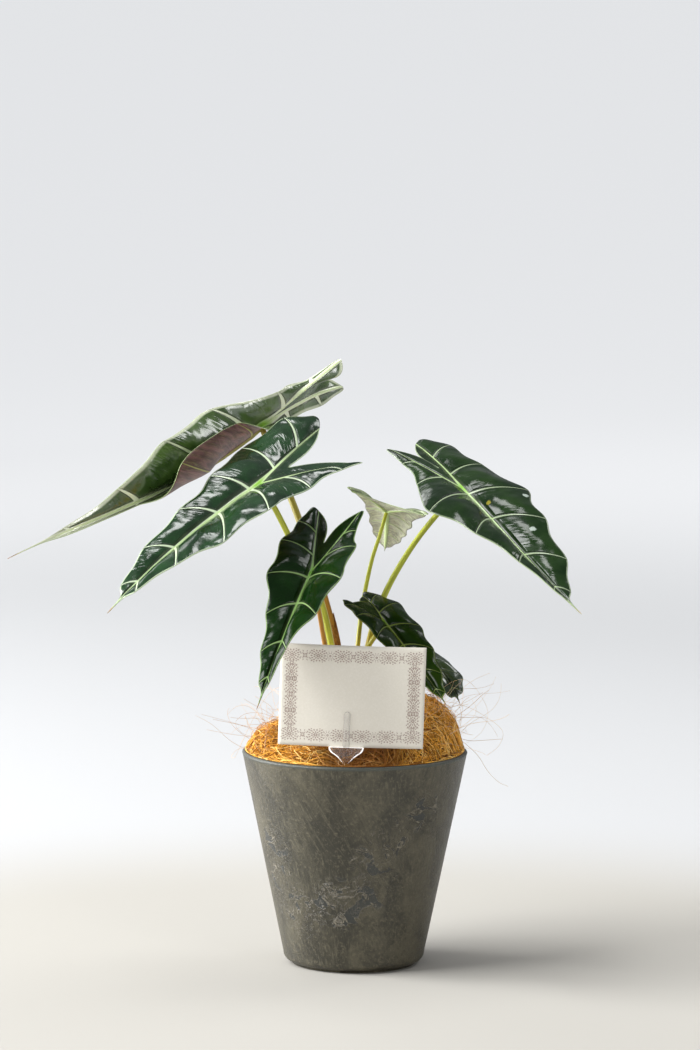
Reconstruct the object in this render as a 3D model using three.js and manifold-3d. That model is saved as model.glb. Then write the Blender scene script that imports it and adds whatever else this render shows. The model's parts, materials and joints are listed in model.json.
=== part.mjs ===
// A potted african mask plant: a young alocasia with seven arrow-shaped leaves in a tapered slate-grey pot.
// Millimetres, +Z up. The origin is the centre of the pot's flat foot, and the viewer stands on the -Y side.

import * as THREE from 'three';
import { mergeVertices } from 'three/addons/utils/BufferGeometryUtils.js';
import Module from 'manifold-3d';

const solids = await Module();
solids.setup();

// Pot
const POT_HEIGHT = 158;
const RIM_RADIUS = 83;
const BASE_RADIUS = 52;
const FOOT_RADIUS = 46;
const FOOT_HEIGHT = 1.8;
const WALL = 4;
const FLOOR = 5;
const LIP_ROUND = 1.6;

// Fill of the pot
const GAP = 0.3;
const SOIL_TOP = 147;
const MOUND_RISE = 34;
const MOUND_LEAN_RIGHT = 14;
const MOUND_DIP_FRONT = 20;
const STALK_DEPTH = 140;

// Blades and stalks
const BLADE_THICKNESS = 0.8;
const RIB_DEPTH = 1.8;
const RIB_HALF_WIDTH = 3;
const STALK_SIDES = 8;
const SHEATH_WALL = 0.9;
const SHEATH_FOOT = 160;
const SHEATH_TIP = [-16, 257];
const SHEATH_TEAR = 65;

// Card and its pick
const CARD_WIDTH = 105;
const CARD_HEIGHT = 74;
const CARD_THICKNESS = 0.5;
const CARD_BEND_RADIUS = 420;
const CARD_CENTRE = [-2.2, -65, 207.2];
const CARD_ROLL = 1.7;
const PICK_LEFT = 3;
const PRONG = 1.2;

// Coconut fibres that stand out of the mound
const FIBRES = 48;
const FIBRE_RADIUS = 0.45;
const SEED = 11;

const COLOUR = {
  pot: 0x5c605c,
  soil: 0x3a2a1e,
  coir: 0xb07a3c,
  blade: 0x17361d,
  youngBlade: 0xa9b89a,
  stalk: 0x8c9a45,
  sheath: 0x5a3422,
  card: 0xeeebe4,
  pick: 0xe8ecec,
};

// The leaves. A blade has one main rib from the stalk's junction to the tip, and a rib to the tip of each of
// its two back lobes. Six side veins run from the ribs to the margin on each side, counted from the tip: four
// on the main rib and two on the lobe rib. Pairs give the left side, then the right, looking from the junction
// to the tip.
//   turn    heading from +X, slope of the rib at the junction, and roll, in degrees
//   droop   how far the main rib bends down over its length: an even part and a part that grows to the tip
//   bend    how far it bends to the left
//   lobes   length, angle from the rib's line, and rise of each lobe
//   veins   length of each side vein; lifts: how steeply it rises from the rib
//   stalk   points the stalk runs through from the mound to the junction; girth: its radius at foot and top
const LEAVES = [
  {
    name: 'back_left', junction: [-71, 80, 389], turn: [209, -38, -48], length: 232, droop: [-90, 103],
    bend: -22,
    lobes: [{ length: 95, angle: 3, rise: -29 }, { length: 82, angle: -3, rise: 0 }], sinus: 0.27,
    camber: [-0.1, 0.08],
    veins: [[5, 8, 87, 39, 11, 13], [6, 24, 64, 40, 17, 8]],
    lifts: [[-4, 36, 76, 92, -60, -60], [51, 60, 74, 42, 66, -33]],
    stalk: [[-11, 5, 202], [-15, 13, 236], [-25, 30, 273], [-43, 55, 324], [-62, 75, 368]],
    girth: [3.6, 2.2],
  },
  {
    name: 'front_left', junction: [-71, -15, 355], turn: [-142, -26, -12], length: 165, droop: [4, 3], bend: 9,
    lobes: [{ length: 75, angle: 27, rise: -7 }, { length: 88, angle: 17, rise: -5 }], sinus: 0.18,
    camber: [0.06, 0.06],
    veins: [[15, 30, 48, 46, 25, 17], [13, 23, 29, 32, 43, 37]],
    lifts: [[17, 14, 8, 10, -7, 3], [18, 25, 23, 24, 2, 14]],
    stalk: [[-13, -5, 203], [-18, -7, 238], [-26, -10, 271], [-41, -12, 301], [-61, -15, 341]],
    girth: [3.0, 2.0],
  },
  {
    name: 'front_middle', junction: [-32, -48, 295], turn: [-111, -36, 5], length: 130, droop: [12, -1],
    bend: -4,
    lobes: [{ length: 64, angle: 20, rise: 5 }, { length: 71, angle: 14, rise: -1 }], sinus: 0.24,
    camber: [0.06, 0.06],
    veins: [[11, 24, 37, 42, 27, 10], [9, 18, 25, 32, 27, 19]],
    lifts: [[41, 43, 26, 23, 14, -8], [9, 10, 16, 36, 30, 15]],
    stalk: [[-15, -14, 204], [-22, -24, 239], [-27, -38, 269]], girth: [2.4, 1.7],
  },
  {
    name: 'right', junction: [78, 20, 349], turn: [-57, -26, 4], length: 168, droop: [9, -11], bend: 1,
    lobes: [{ length: 86, angle: 8, rise: -9 }, { length: 74, angle: 17, rise: -4 }], sinus: 0.2,
    camber: [0.06, 0.06],
    veins: [[13, 32, 41, 45, 31, 27], [10, 21, 38, 50, 21, 10]],
    lifts: [[8, 20, 24, 13, 5, 5], [28, 22, 14, 5, -14, -16]],
    stalk: [[5, 3, 202], [11, 17, 239], [22, 32, 270], [41, 32, 304], [62, 26, 332]], girth: [2.8, 1.9],
  },
  {
    name: 'back_small', junction: [23, 62, 328], turn: [89, -31, 19], length: 84, droop: [-5, 0], bend: 5,
    lobes: [{ length: 49, angle: 28, rise: -14 }, { length: 54, angle: 38, rise: -13 }], sinus: 0.23,
    camber: [0.06, 0.06],
    veins: [[7, 15, 18, 19, 21, 15], [7, 15, 20, 22, 22, 16]],
    lifts: [[6, 5, 2, 5, 7, 8], [5, 3, -2, -3, 2, 4]],
    stalk: [[-1, 14, 200], [2, 20, 234], [5, 28, 260], [12, 45, 293], [18, 55, 311]], girth: [2.2, 1.3],
  },
  {
    name: 'low_right', junction: [21, -12, 254], turn: [-38, -41, 16], length: 95, droop: [-17, -6], bend: -25,
    lobes: [{ length: 39, angle: 19, rise: -21 }, { length: 29, angle: 21, rise: -6 }], sinus: 0.26,
    camber: [0.06, 0.06],
    veins: [[8, 16, 23, 26, 26, 19], [8, 17, 26, 27, 21, 16]],
    lifts: [[15, 17, 15, 4, -7, -9], [12, 13, 16, 21, 18, 15]],
    stalk: [[-2, -8, 200], [5, -9, 228], [14, -11, 243]], girth: [2.4, 1.6],
  },
  {
    name: 'low_far', junction: [39, 40, 233.5], turn: [-28, -31, 9], length: 64, droop: [15, 12], bend: -12,
    lobes: [{ length: 32, angle: 18, rise: 5 }, { length: 32, angle: 18, rise: 5 }], sinus: 0.22,
    camber: [0.06, 0.06],
    veins: [[9, 18, 21, 23, 18, 12], [9, 18, 24, 25, 18, 12]],
    lifts: [[30, 16, -3, -18, -4, 0], [-16, -7, 1, 5, 7, 8]],
    stalk: [[13, 12, 201], [21, 23, 217], [30, 33, 227]], girth: [2.0, 1.4],
  },
];
const YOUNG_LEAF = 'back_small';
const SHEATHED_LEAF = 'back_left';

// Places on a blade. A phase counts along the ribs: 0 at the tip, a whole number at each side vein,
// JUNCTION_PHASE where the stalk joins, and 7 at the tip of a lobe. Shares of the main rib's length and angles
// go with the phases.
const JUNCTION_PHASE = 4.3;
const LOBE_PHASE = 7;
const RIB_PHASES = [0, 1, 2, 3, 4, 4.3];
const RIB_SHARES = [1, 0.78, 0.53, 0.25, 0.05, 0];
const VEIN_PHASES = [0, 0.5, 1, 2, 3, 4, 5, 6, 6.6, 6.88, 7];
const ANGLE_PHASES = [0, 1, 2, 3, 4, 5, 6, 7];
const VEIN_ANGLES = [20, 38, 47, 52, 67, 98, 118, 140];
const SINUS_SHARE = 0.42;
const SINUS_BULGE = 0.045;
const VEIN_ARCH = 0.3;
const MARGIN_SCALLOP = 0.1;
const QUILT = 0.05;

const radians = THREE.MathUtils.degToRad;
const clamp = THREE.MathUtils.clamp;

function ease(x) {
  const t = clamp(x, 0, 1);
  return t * t * (3 - 2 * t);
}

// A smooth curve through the anchors that never overshoots them.
function smooth(x, xs, ys) {
  const slopes = xs.slice(1).map((v, i) => (ys[i + 1] - ys[i]) / (v - xs[i]));
  const tangent = (i) => {
    if (i === 0) return slopes[0];
    if (i === xs.length - 1) return slopes[i - 1];
    const [a, b] = [slopes[i - 1], slopes[i]];
    return a * b <= 0 ? 0 : (2 * a * b) / (a + b);
  };
  let i = xs.length - 2;
  while (i > 0 && x < xs[i]) i -= 1;
  const h = xs[i + 1] - xs[i];
  const t = (x - xs[i]) / h;
  return ys[i] * (1 + 2 * t) * (1 - t) ** 2 + tangent(i) * h * t * (1 - t) ** 2
    + ys[i + 1] * t * t * (3 - 2 * t) + tangent(i + 1) * h * t * t * (t - 1);
}

// The main rib as a chain of short steps whose slope and heading change evenly.
const RIB_STEPS = 40;
function mainRib(leaf) {
  const slope = (s) => -radians(leaf.droop[0]) * s - radians(leaf.droop[1]) * s * s;
  const heading = (s) => radians(leaf.bend) * s;
  const along = (s) => new THREE.Vector3(
    Math.cos(slope(s)) * Math.cos(heading(s)), Math.cos(slope(s)) * Math.sin(heading(s)), Math.sin(slope(s)));
  const places = [new THREE.Vector3()];
  for (let k = 1; k <= RIB_STEPS; k += 1) {
    const step = along((k - 0.5) / RIB_STEPS).multiplyScalar(leaf.length / RIB_STEPS);
    places.push(places[k - 1].clone().add(step));
  }
  const at = (s) => {
    const k = Math.min(Math.floor(s * RIB_STEPS), RIB_STEPS - 1);
    return places[k].clone().lerp(places[k + 1], s * RIB_STEPS - k);
  };
  return { at, slope, heading };
}

function lobeShare(phase) {
  return clamp((phase - JUNCTION_PHASE) / (LOBE_PHASE - JUNCTION_PHASE), 0, 1);
}

function lobePoint(lobe, side, share) {
  const reach = share * lobe.length;
  const angle = radians(lobe.angle);
  const rise = radians(lobe.rise);
  return new THREE.Vector3(
    -reach * Math.cos(angle) * Math.cos(rise * Math.sqrt(share)),
    side * reach * Math.sin(angle),
    reach * Math.sin(rise) * (0.35 + 0.65 * share));
}

// Place and directions (forward, left, up) of the rib at a phase, in the leaf's own frame.
function ribFrame(leaf, side, phase) {
  const lobe = leaf.lobes[side > 0 ? 0 : 1];
  const rib = mainRib(leaf);
  const onLobe = phase > JUNCTION_PHASE;
  const share = onLobe ? 0 : smooth(phase, RIB_PHASES, RIB_SHARES);
  const back = lobeShare(phase);
  const at = onLobe ? lobePoint(lobe, side, back) : rib.at(share);
  const slope = onLobe ? -radians(lobe.rise) * ease(1.5 * back) : rib.slope(share);
  const heading = rib.heading(share);
  const forward = new THREE.Vector3(
    Math.cos(slope) * Math.cos(heading), Math.cos(slope) * Math.sin(heading), Math.sin(slope));
  const left = new THREE.Vector3(-Math.sin(heading), Math.cos(heading), 0);
  return { at, forward, left, up: forward.clone().cross(left), share, back };
}

function veinLength(leaf, side, phase) {
  const v = leaf.veins[side > 0 ? 0 : 1];
  const anchors = [0, 0.22 * v[0], ...v, 0.72 * v[5], 0.42 * v[5], 0];
  const scallop = 1 - MARGIN_SCALLOP * Math.sin(Math.PI * phase) ** 2;
  return smooth(phase, VEIN_PHASES, anchors) * scallop;
}

// A point of the half blade between a rib (t = 0) and the outer margin (t = 1).
function outerPoint(leaf, side, phase, t) {
  const { at, forward, left, up } = ribFrame(leaf, side, phase);
  const lifts = leaf.lifts[side > 0 ? 0 : 1];
  const lift = radians(smooth(phase, ANGLE_PHASES, [lifts[0], ...lifts, lifts[5]]));
  const angle = radians(smooth(phase, ANGLE_PHASES, VEIN_ANGLES));
  const length = veinLength(leaf, side, phase);
  const out = left.clone().multiplyScalar(side);
  const across = out.clone().multiplyScalar(Math.cos(lift)).addScaledVector(up, Math.sin(lift));
  const normal = up.clone().multiplyScalar(Math.cos(lift)).addScaledVector(out, -Math.sin(lift));
  const camber = 4 * leaf.camber[side > 0 ? 0 : 1] * t * (1 - t);
  const quilt = QUILT * Math.sin(Math.PI * phase) ** 2 * Math.sin(Math.PI * t);
  return at
    .addScaledVector(forward, length * t * (Math.cos(angle) - VEIN_ARCH * (1 - t)))
    .addScaledVector(across, length * t * Math.sin(angle))
    .addScaledVector(normal, length * (camber + quilt));
}

// A point between a lobe's rib (t = 0) and the notch between the lobes (t = 1). The first part of the notch's
// edge is the line where both halves meet behind the junction.
function innerPoint(leaf, side, share, t) {
  const lobe = leaf.lobes[side > 0 ? 0 : 1];
  const rise = radians((leaf.lobes[0].rise + leaf.lobes[1].rise) / 2);
  const depth = leaf.sinus * leaf.length;
  const notch = new THREE.Vector3(-depth * Math.cos(rise), 0, 0.6 * depth * Math.sin(rise));
  const edge = notch.clone();
  if (share <= SINUS_SHARE) {
    edge.multiplyScalar(share / SINUS_SHARE);
  } else {
    const s = (share - SINUS_SHARE) / (1 - SINUS_SHARE);
    edge.lerp(lobePoint(lobe, side, 1), s);
    edge.y -= side * SINUS_BULGE * leaf.length * 4 * s ** 1.3 * (1 - s);
  }
  return lobePoint(lobe, side, share).lerp(edge, t);
}

// Depth of the raised rib under the blade: full at the junction, thinning out to the tips.
function ribDepth(leaf, side, phase) {
  const { share, back } = ribFrame(leaf, side, phase);
  const depth = RIB_DEPTH * Math.sqrt(leaf.length / 165) * (1 - share) * (1 - back);
  return Math.min(depth, 0.35 * veinLength(leaf, side, phase));
}

function leafMatrix(leaf) {
  const [heading, slope, roll] = leaf.turn.map(radians);
  return new THREE.Matrix4().makeTranslation(...leaf.junction)
    .multiply(new THREE.Matrix4().makeRotationZ(heading))
    .multiply(new THREE.Matrix4().makeRotationY(-slope))
    .multiply(new THREE.Matrix4().makeRotationX(roll));
}

// An indexed mesh that joins equal points and drops triangles without area.
class Surface {
  constructor() {
    this.points = [];
    this.triangles = [];
    this.known = new Map();
  }

  point(v, extra = 0) {
    const key = v.toArray().map((c) => Math.round(c * 50)).join();
    if (!this.known.has(key)) {
      this.known.set(key, this.points.length);
      this.points.push({ v: v.clone(), extra });
    }
    const index = this.known.get(key);
    this.points[index].extra = Math.max(this.points[index].extra, extra);
    return index;
  }

  grid(rows, flip) {
    for (let i = 0; i + 1 < rows.length; i += 1) {
      for (let j = 0; j + 1 < rows[i].length; j += 1) {
        const [a, b, c, d] = [rows[i][j], rows[i + 1][j], rows[i + 1][j + 1], rows[i][j + 1]];
        for (const t of [[a, b, c], [a, c, d]]) {
          if (new Set(t).size === 3) this.triangles.push(flip ? [t[0], t[2], t[1]] : t);
        }
      }
    }
  }

  // Gives the surface a thickness along its normals, with the extra depth of each point below it.
  thicken(thickness) {
    const normals = this.points.map(() => new THREE.Vector3());
    for (const [a, b, c] of this.triangles) {
      const ab = this.points[b].v.clone().sub(this.points[a].v);
      const ac = this.points[c].v.clone().sub(this.points[a].v);
      const n = ab.cross(ac);
      for (const k of [a, b, c]) normals[k].add(n);
    }
    const count = this.points.length;
    const top = this.points.map((p, i) => p.v.clone().addScaledVector(normals[i].normalize(), thickness / 2));
    const bottom = this.points.map((p, i) => p.v.clone().addScaledVector(normals[i], -thickness / 2 - p.extra));
    const edges = new Set(this.triangles.flatMap(([a, b, c]) => [`${a},${b}`, `${b},${c}`, `${c},${a}`]));
    const index = [];
    for (const [a, b, c] of this.triangles) {
      index.push(a, b, c, a + count, c + count, b + count);
      for (const [p, q] of [[a, b], [b, c], [c, a]]) {
        if (!edges.has(`${q},${p}`)) index.push(q, p, p + count, q, p + count, q + count);
      }
    }
    const geometry = new THREE.BufferGeometry();
    geometry.setAttribute('position', new THREE.Float32BufferAttribute(
      [...top, ...bottom].flatMap((v) => v.toArray()), 3));
    geometry.setIndex(index);
    return geometry;
  }
}

function bladeGeometry(leaf, thickness) {
  const surface = new Surface();
  const steps = leaf.length > 100 ? 4 : 3;
  const phases = Array.from({ length: LOBE_PHASE * steps + 1 }, (_, k) => (
    Math.abs(k / steps - JUNCTION_PHASE) < 0.1 ? JUNCTION_PHASE : k / steps));
  for (const side of [1, -1]) {
    const outer = [];
    for (const phase of phases) {
      const rib = Math.min(0.25, RIB_HALF_WIDTH / Math.max(veinLength(leaf, side, phase), 1));
      const ts = [0, rib, rib + (1 - rib) / 3, rib + (2 * (1 - rib)) / 3, 1];
      const depth = ribDepth(leaf, side, phase);
      outer.push(ts.map((t) => surface.point(outerPoint(leaf, side, phase, t), t === 0 ? depth : 0)));
    }
    surface.grid(outer, side > 0);
    const inner = [];
    for (const phase of phases.filter((p) => p >= JUNCTION_PHASE)) {
      const share = lobeShare(phase);
      inner.push([0, 0.5, 1].map((t) => surface.point(innerPoint(leaf, side, share, t))));
    }
    surface.grid(inner, side < 0);
  }
  return surface.thicken(thickness).applyMatrix4(leafMatrix(leaf));
}

// Closed tapered tube along a smooth curve.
function tubeGeometry(points, radius, sides, steps) {
  const curve = new THREE.CatmullRomCurve3(points.map((p) => new THREE.Vector3(...p)), false, 'centripetal');
  const frames = curve.computeFrenetFrames(steps, false);
  const position = [];
  for (let i = 0; i <= steps; i += 1) {
    const at = curve.getPointAt(i / steps);
    for (let j = 0; j < sides; j += 1) {
      const a = (2 * Math.PI * j) / sides;
      const rim = at.clone()
        .addScaledVector(frames.normals[i], radius(i / steps) * Math.cos(a))
        .addScaledVector(frames.binormals[i], radius(i / steps) * Math.sin(a));
      position.push(...rim.toArray());
    }
  }
  const index = [];
  for (let i = 0; i < steps; i += 1) {
    for (let j = 0; j < sides; j += 1) {
      const [a, b] = [i * sides + j, i * sides + ((j + 1) % sides)];
      index.push(a, b, b + sides, a, b + sides, a + sides);
    }
  }
  const last = steps * sides;
  for (let j = 1; j + 1 < sides; j += 1) index.push(0, j + 1, j, last, last + j, last + j + 1);
  const geometry = new THREE.BufferGeometry();
  geometry.setAttribute('position', new THREE.Float32BufferAttribute(position, 3));
  geometry.setIndex(index);
  return geometry;
}

// Joining and cutting
function toSolid(geometry) {
  const plain = geometry.clone();
  plain.deleteAttribute('normal');
  plain.deleteAttribute('uv');
  const merged = mergeVertices(plain, 1e-4);
  return new solids.Manifold(new solids.Mesh({
    numProp: 3,
    vertProperties: new Float32Array(merged.attributes.position.array),
    triVerts: new Uint32Array(merged.index.array),
  }));
}

function toGeometry(solid) {
  const mesh = solid.getMesh();
  const geometry = new THREE.BufferGeometry();
  geometry.setAttribute('position', new THREE.BufferAttribute(new Float32Array(mesh.vertProperties), 3));
  geometry.setIndex(new THREE.BufferAttribute(new Uint32Array(mesh.triVerts), 1));
  return geometry;
}

// The largest of the bodies that a cut leaves.
function mainBody(solid) {
  return solid.decompose().sort((a, b) => b.volume() - a.volume())[0];
}

function latheGeometry(profile, segments = 48) {
  const geometry = new THREE.LatheGeometry(profile.map(([r, z]) => new THREE.Vector2(r, z)), segments);
  return geometry.rotateX(Math.PI / 2);
}

// Pot: a flat foot, a shadow gap, a rounded base, a straight taper and a rounded lip, then the inside.
function outerRadius(z) {
  return BASE_RADIUS + ((RIM_RADIUS - BASE_RADIUS) * (z - 8)) / (POT_HEIGHT - 8);
}

function potGeometry() {
  const inside = (z) => outerRadius(z) - WALL;
  return latheGeometry([
    [0, 0], [FOOT_RADIUS, 0], [FOOT_RADIUS, FOOT_HEIGHT], [FOOT_RADIUS + 2, FOOT_HEIGHT + 0.2],
    [FOOT_RADIUS + 4, FOOT_HEIGHT + 1.4], [outerRadius(8) - 0.6, 5.6], [outerRadius(8), 8],
    [outerRadius(POT_HEIGHT - LIP_ROUND), POT_HEIGHT - LIP_ROUND], [RIM_RADIUS - 0.8, POT_HEIGHT - 0.3],
    [RIM_RADIUS - LIP_ROUND, POT_HEIGHT], [inside(POT_HEIGHT) + 1, POT_HEIGHT],
    [inside(POT_HEIGHT), POT_HEIGHT - 1], [inside(FLOOR + 4), FLOOR + 4], [inside(FLOOR) - 5, FLOOR],
    [0, FLOOR],
  ]);
}

function stalkRoute(leaf, end = leaf.junction) {
  const [x, y] = leaf.stalk[0];
  return [[x, y, STALK_DEPTH], [x, y, SOIL_TOP + 20], ...leaf.stalk, end];
}

function stalkGeometry(leaf, extra = 0) {
  const [foot, top] = leaf.girth;
  const radius = (s) => foot + (top - foot) * s + extra;
  return tubeGeometry(stalkRoute(leaf), radius, STALK_SIDES, 4 * leaf.stalk.length);
}

function soilSolid(stalkHoles) {
  const inside = (z) => outerRadius(z) - WALL - GAP;
  const fill = latheGeometry([
    [0, FLOOR + GAP], [inside(FLOOR) - 5, FLOOR + GAP], [inside(FLOOR + 4 + GAP), FLOOR + 4 + GAP],
    [inside(SOIL_TOP), SOIL_TOP], [0, SOIL_TOP],
  ]);
  return toSolid(fill).subtract(stalkHoles);
}

// Height of the fibre mound: a cushion that swells out of the pot, higher on the right and lower in front.
const MOUND_RADIUS = RIM_RADIUS - WALL - GAP - 0.4;
function moundHeight(x, y) {
  const r = Math.min(Math.hypot(x, y) / MOUND_RADIUS, 1);
  const lean = (MOUND_LEAN_RIGHT * x) / Math.hypot(x, 35);
  const dip = (MOUND_DIP_FRONT * Math.min(y, 0)) / Math.hypot(y, 35);
  const bumps = 2 * Math.sin(x / 9 + 1) * Math.sin(y / 8) + 1.2 * Math.sin(x / 4.3 + y / 5.1);
  return POT_HEIGHT - 1 + (MOUND_RISE + lean + dip + bumps) * (1 - r * r) ** 0.4;
}

function moundGeometry() {
  const around = 40;
  const rings = [0.001, 0.18, 0.36, 0.52, 0.66, 0.78, 0.87, 0.94, 0.98, 1];
  const low = SOIL_TOP + GAP;
  const lowRadius = MOUND_RADIUS - 2.5;
  const surface = new Surface();
  const ring = (r, z) => Array.from({ length: around + 1 }, (_, k) => {
    const a = (2 * Math.PI * (k % around)) / around;
    const [x, y] = [r * Math.cos(a), r * Math.sin(a)];
    return surface.point(new THREE.Vector3(x, y, z === undefined ? moundHeight(x, y) : z));
  });
  const centre = (z) => Array(around + 1).fill(surface.point(new THREE.Vector3(0, 0, z)));
  const rows = [centre(moundHeight(0, 0)), ...rings.slice(1).map((r) => ring(r * MOUND_RADIUS)),
    ring(lowRadius, low), centre(low)];
  surface.grid(rows, false);
  const geometry = new THREE.BufferGeometry();
  geometry.setAttribute('position', new THREE.Float32BufferAttribute(
    surface.points.flatMap((p) => p.v.toArray()), 3));
  geometry.setIndex(surface.triangles.flat());
  return geometry;
}

function seededRandom(seed) {
  let state = seed;
  return () => {
    state = (state + 0x6d2b79f5) | 0;
    let t = Math.imul(state ^ (state >>> 15), 1 | state);
    t = (t + Math.imul(t ^ (t >>> 7), 61 | t)) ^ t;
    return ((t ^ (t >>> 14)) >>> 0) / 4294967296;
  };
}

// Loose fibres: each leaves the mound, arcs over it or out past the rim, and most of them come back to it.
function fibreSolids() {
  const random = seededRandom(SEED);
  return Array.from({ length: FIBRES }, (_, k) => {
    const angle = 2 * Math.PI * (k / FIBRES + 0.01 * random());
    const start = MOUND_RADIUS * (0.55 + 0.38 * random());
    const reach = 12 + 26 * random();
    const swing = (random() - 0.5) * 1.1;
    const rise = 5 + 12 * random();
    const loose = random() < 0.35;
    const place = (r, a, z) => [r * Math.cos(a), r * Math.sin(a), z];
    const ground = (r, a) => moundHeight(r * Math.cos(a), r * Math.sin(a));
    const middle = place(start + (loose ? 0.5 : -0.2) * reach, angle + swing / 2, ground(start, angle) + rise);
    const end = loose
      ? place(start + reach * 0.9, angle + swing, ground(start, angle) + rise * 0.5)
      : place(start - reach * 0.3, angle + swing, ground(start - reach * 0.3, angle + swing) - 4);
    const points = [place(start, angle, ground(start, angle) - 4), middle, end];
    return toSolid(tubeGeometry(points, () => FIBRE_RADIUS, 3, 4));
  });
}

// The dry sheath at the foot of the thickest stalk: a curved strip open on its left side, torn at the top.
function sheathSolid(leaf) {
  const [x, y] = leaf.stalk[0];
  const tube = toSolid(stalkGeometry(leaf, GAP + SHEATH_WALL)).subtract(toSolid(stalkGeometry(leaf, GAP)));
  const foot = new THREE.BoxGeometry(40, 40, 40).translate(x, y, SHEATH_FOOT - 20);
  const opening = new THREE.BoxGeometry(8, 4, 200).translate(x - 8.2, y, SHEATH_FOOT);
  const tear = new THREE.BoxGeometry(200, 240, 140).translate(70, 0, 70).rotateY(radians(-SHEATH_TEAR))
    .translate(SHEATH_TIP[0], y, SHEATH_TIP[1]);
  return mainBody([foot, opening, tear].reduce((rest, box) => rest.subtract(toSolid(box)), tube));
}

// Card: a sheet bent gently about an upright line, and the frame that it stands in.
function cardMatrix() {
  return new THREE.Matrix4().makeTranslation(...CARD_CENTRE)
    .multiply(new THREE.Matrix4().makeRotationY(radians(CARD_ROLL)));
}

function cardGeometry(thickness, margin = 0) {
  const surface = new Surface();
  const columns = 12;
  const rows = Array.from({ length: columns + 1 }, (_, i) => {
    const x = (i / columns - 0.5) * (CARD_WIDTH + 2 * margin);
    const y = CARD_BEND_RADIUS - Math.sqrt(CARD_BEND_RADIUS ** 2 - x * x);
    return [-0.5, 0, 0.5].map((h) => surface.point(new THREE.Vector3(x, y, h * (CARD_HEIGHT + 2 * margin))));
  });
  surface.grid(rows, false);
  return surface.thicken(thickness).applyMatrix4(cardMatrix());
}

// Pick: a clear tulip-shaped plate under the card with a stem in the mound, a short prong in front of the card
// and a taller one behind it.
function pickSolid() {
  const depth = CARD_THICKNESS + 2 * GAP + 2 * PRONG;
  const bottom = -CARD_HEIGHT / 2 - GAP;
  const outline = new THREE.Shape();
  outline.moveTo(0, bottom - 44);
  outline.lineTo(1.6, bottom - 40);
  outline.lineTo(1.6, bottom - 13);
  outline.quadraticCurveTo(4, bottom - 8, 10, bottom - 4.5);
  outline.quadraticCurveTo(12.6, bottom - 2.6, 12.6, bottom);
  outline.lineTo(-12.6, bottom);
  outline.quadraticCurveTo(-12.6, bottom - 2.6, -10, bottom - 4.5);
  outline.quadraticCurveTo(-4, bottom - 8, -1.6, bottom - 13);
  outline.lineTo(-1.6, bottom - 40);
  outline.closePath();
  const prong = (height) => {
    const shape = new THREE.Shape();
    shape.moveTo(-2.2, bottom - 3);
    shape.lineTo(2.2, bottom - 3);
    shape.lineTo(2.2, bottom + height);
    shape.absarc(0, bottom + height, 2.2, 0, Math.PI, false);
    shape.closePath();
    return shape;
  };
  const plate = (shape, thickness, y) => toSolid(new THREE.ExtrudeGeometry(
    shape, { depth: thickness, bevelEnabled: false, curveSegments: 4 })
    .rotateX(Math.PI / 2).translate(0, y, 0));
  const half = depth / 2;
  const body = plate(outline, depth, half)
    .add(plate(prong(26), PRONG, -half + PRONG))
    .add(plate(prong(34), PRONG, half));
  return toSolid(toGeometry(body).translate(-PICK_LEFT, 0, 0).applyMatrix4(cardMatrix()));
}

// Assembly
const plant = new THREE.Group();

function addPiece(name, geometry, color, roughness, metalness = 0) {
  const material = new THREE.MeshStandardMaterial({ color, roughness, metalness });
  const mesh = new THREE.Mesh(geometry, material);
  mesh.name = name;
  plant.add(mesh);
}

const union = (parts) => parts.reduce((a, b) => a.add(b));
const stalkHoles = union(LEAVES.map((leaf) => toSolid(stalkGeometry(leaf, GAP))));
const grownBlades = union(LEAVES.map((leaf) => toSolid(bladeGeometry(leaf, BLADE_THICKNESS + 2 * GAP))));
const sheathed = LEAVES.find((leaf) => leaf.name === SHEATHED_LEAF);
const sheath = sheathSolid(sheathed);
const sheathRoom = toSolid(stalkGeometry(sheathed, SHEATH_WALL + 2 * GAP));
const pick = toGeometry(pickSolid());
const pickRoom = union([[GAP, 0], [-GAP, 0], [0, GAP], [0, -GAP]].flatMap(([x, y]) => [GAP, -GAP].map(
  (z) => toSolid(pick.clone().translate(x, y, z)))));
const clearOf = (solid, others) => others.reduce((rest, other) => rest.subtract(other), solid);

addPiece('pot', potGeometry(), COLOUR.pot, 0.55);
addPiece('soil', toGeometry(soilSolid(union([stalkHoles, pickRoom]))), COLOUR.soil, 0.95);

const potRoom = toSolid(latheGeometry([
  [0, 0], [RIM_RADIUS + GAP, 0], [RIM_RADIUS + GAP, POT_HEIGHT + GAP], [MOUND_RADIUS + 0.1, POT_HEIGHT + GAP],
  [MOUND_RADIUS + 0.1, SOIL_TOP], [0, SOIL_TOP],
]));
const fibres = union(fibreSolids()).subtract(potRoom);
const coir = clearOf(toSolid(moundGeometry()).add(fibres),
  [stalkHoles, sheathRoom, grownBlades, toSolid(cardGeometry(CARD_THICKNESS + 2 * GAP, GAP)), pickRoom]);
addPiece('coir_mound', toGeometry(mainBody(coir)), COLOUR.coir, 0.9);

for (const leaf of LEAVES) {
  const young = leaf.name === YOUNG_LEAF;
  const blade = bladeGeometry(leaf, BLADE_THICKNESS);
  addPiece(`blade_${leaf.name}`, blade, young ? COLOUR.youngBlade : COLOUR.blade, 0.3);
  const stalk = mainBody(toSolid(stalkGeometry(leaf)).subtract(grownBlades));
  addPiece(`stalk_${leaf.name}`, toGeometry(stalk), COLOUR.stalk, 0.5);
}
addPiece('dry_sheath', toGeometry(sheath), COLOUR.sheath, 0.8);
addPiece('message_card', cardGeometry(CARD_THICKNESS), COLOUR.card, 0.8);
addPiece('card_pick', pick, COLOUR.pick, 0.1);

export default plant;
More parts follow.
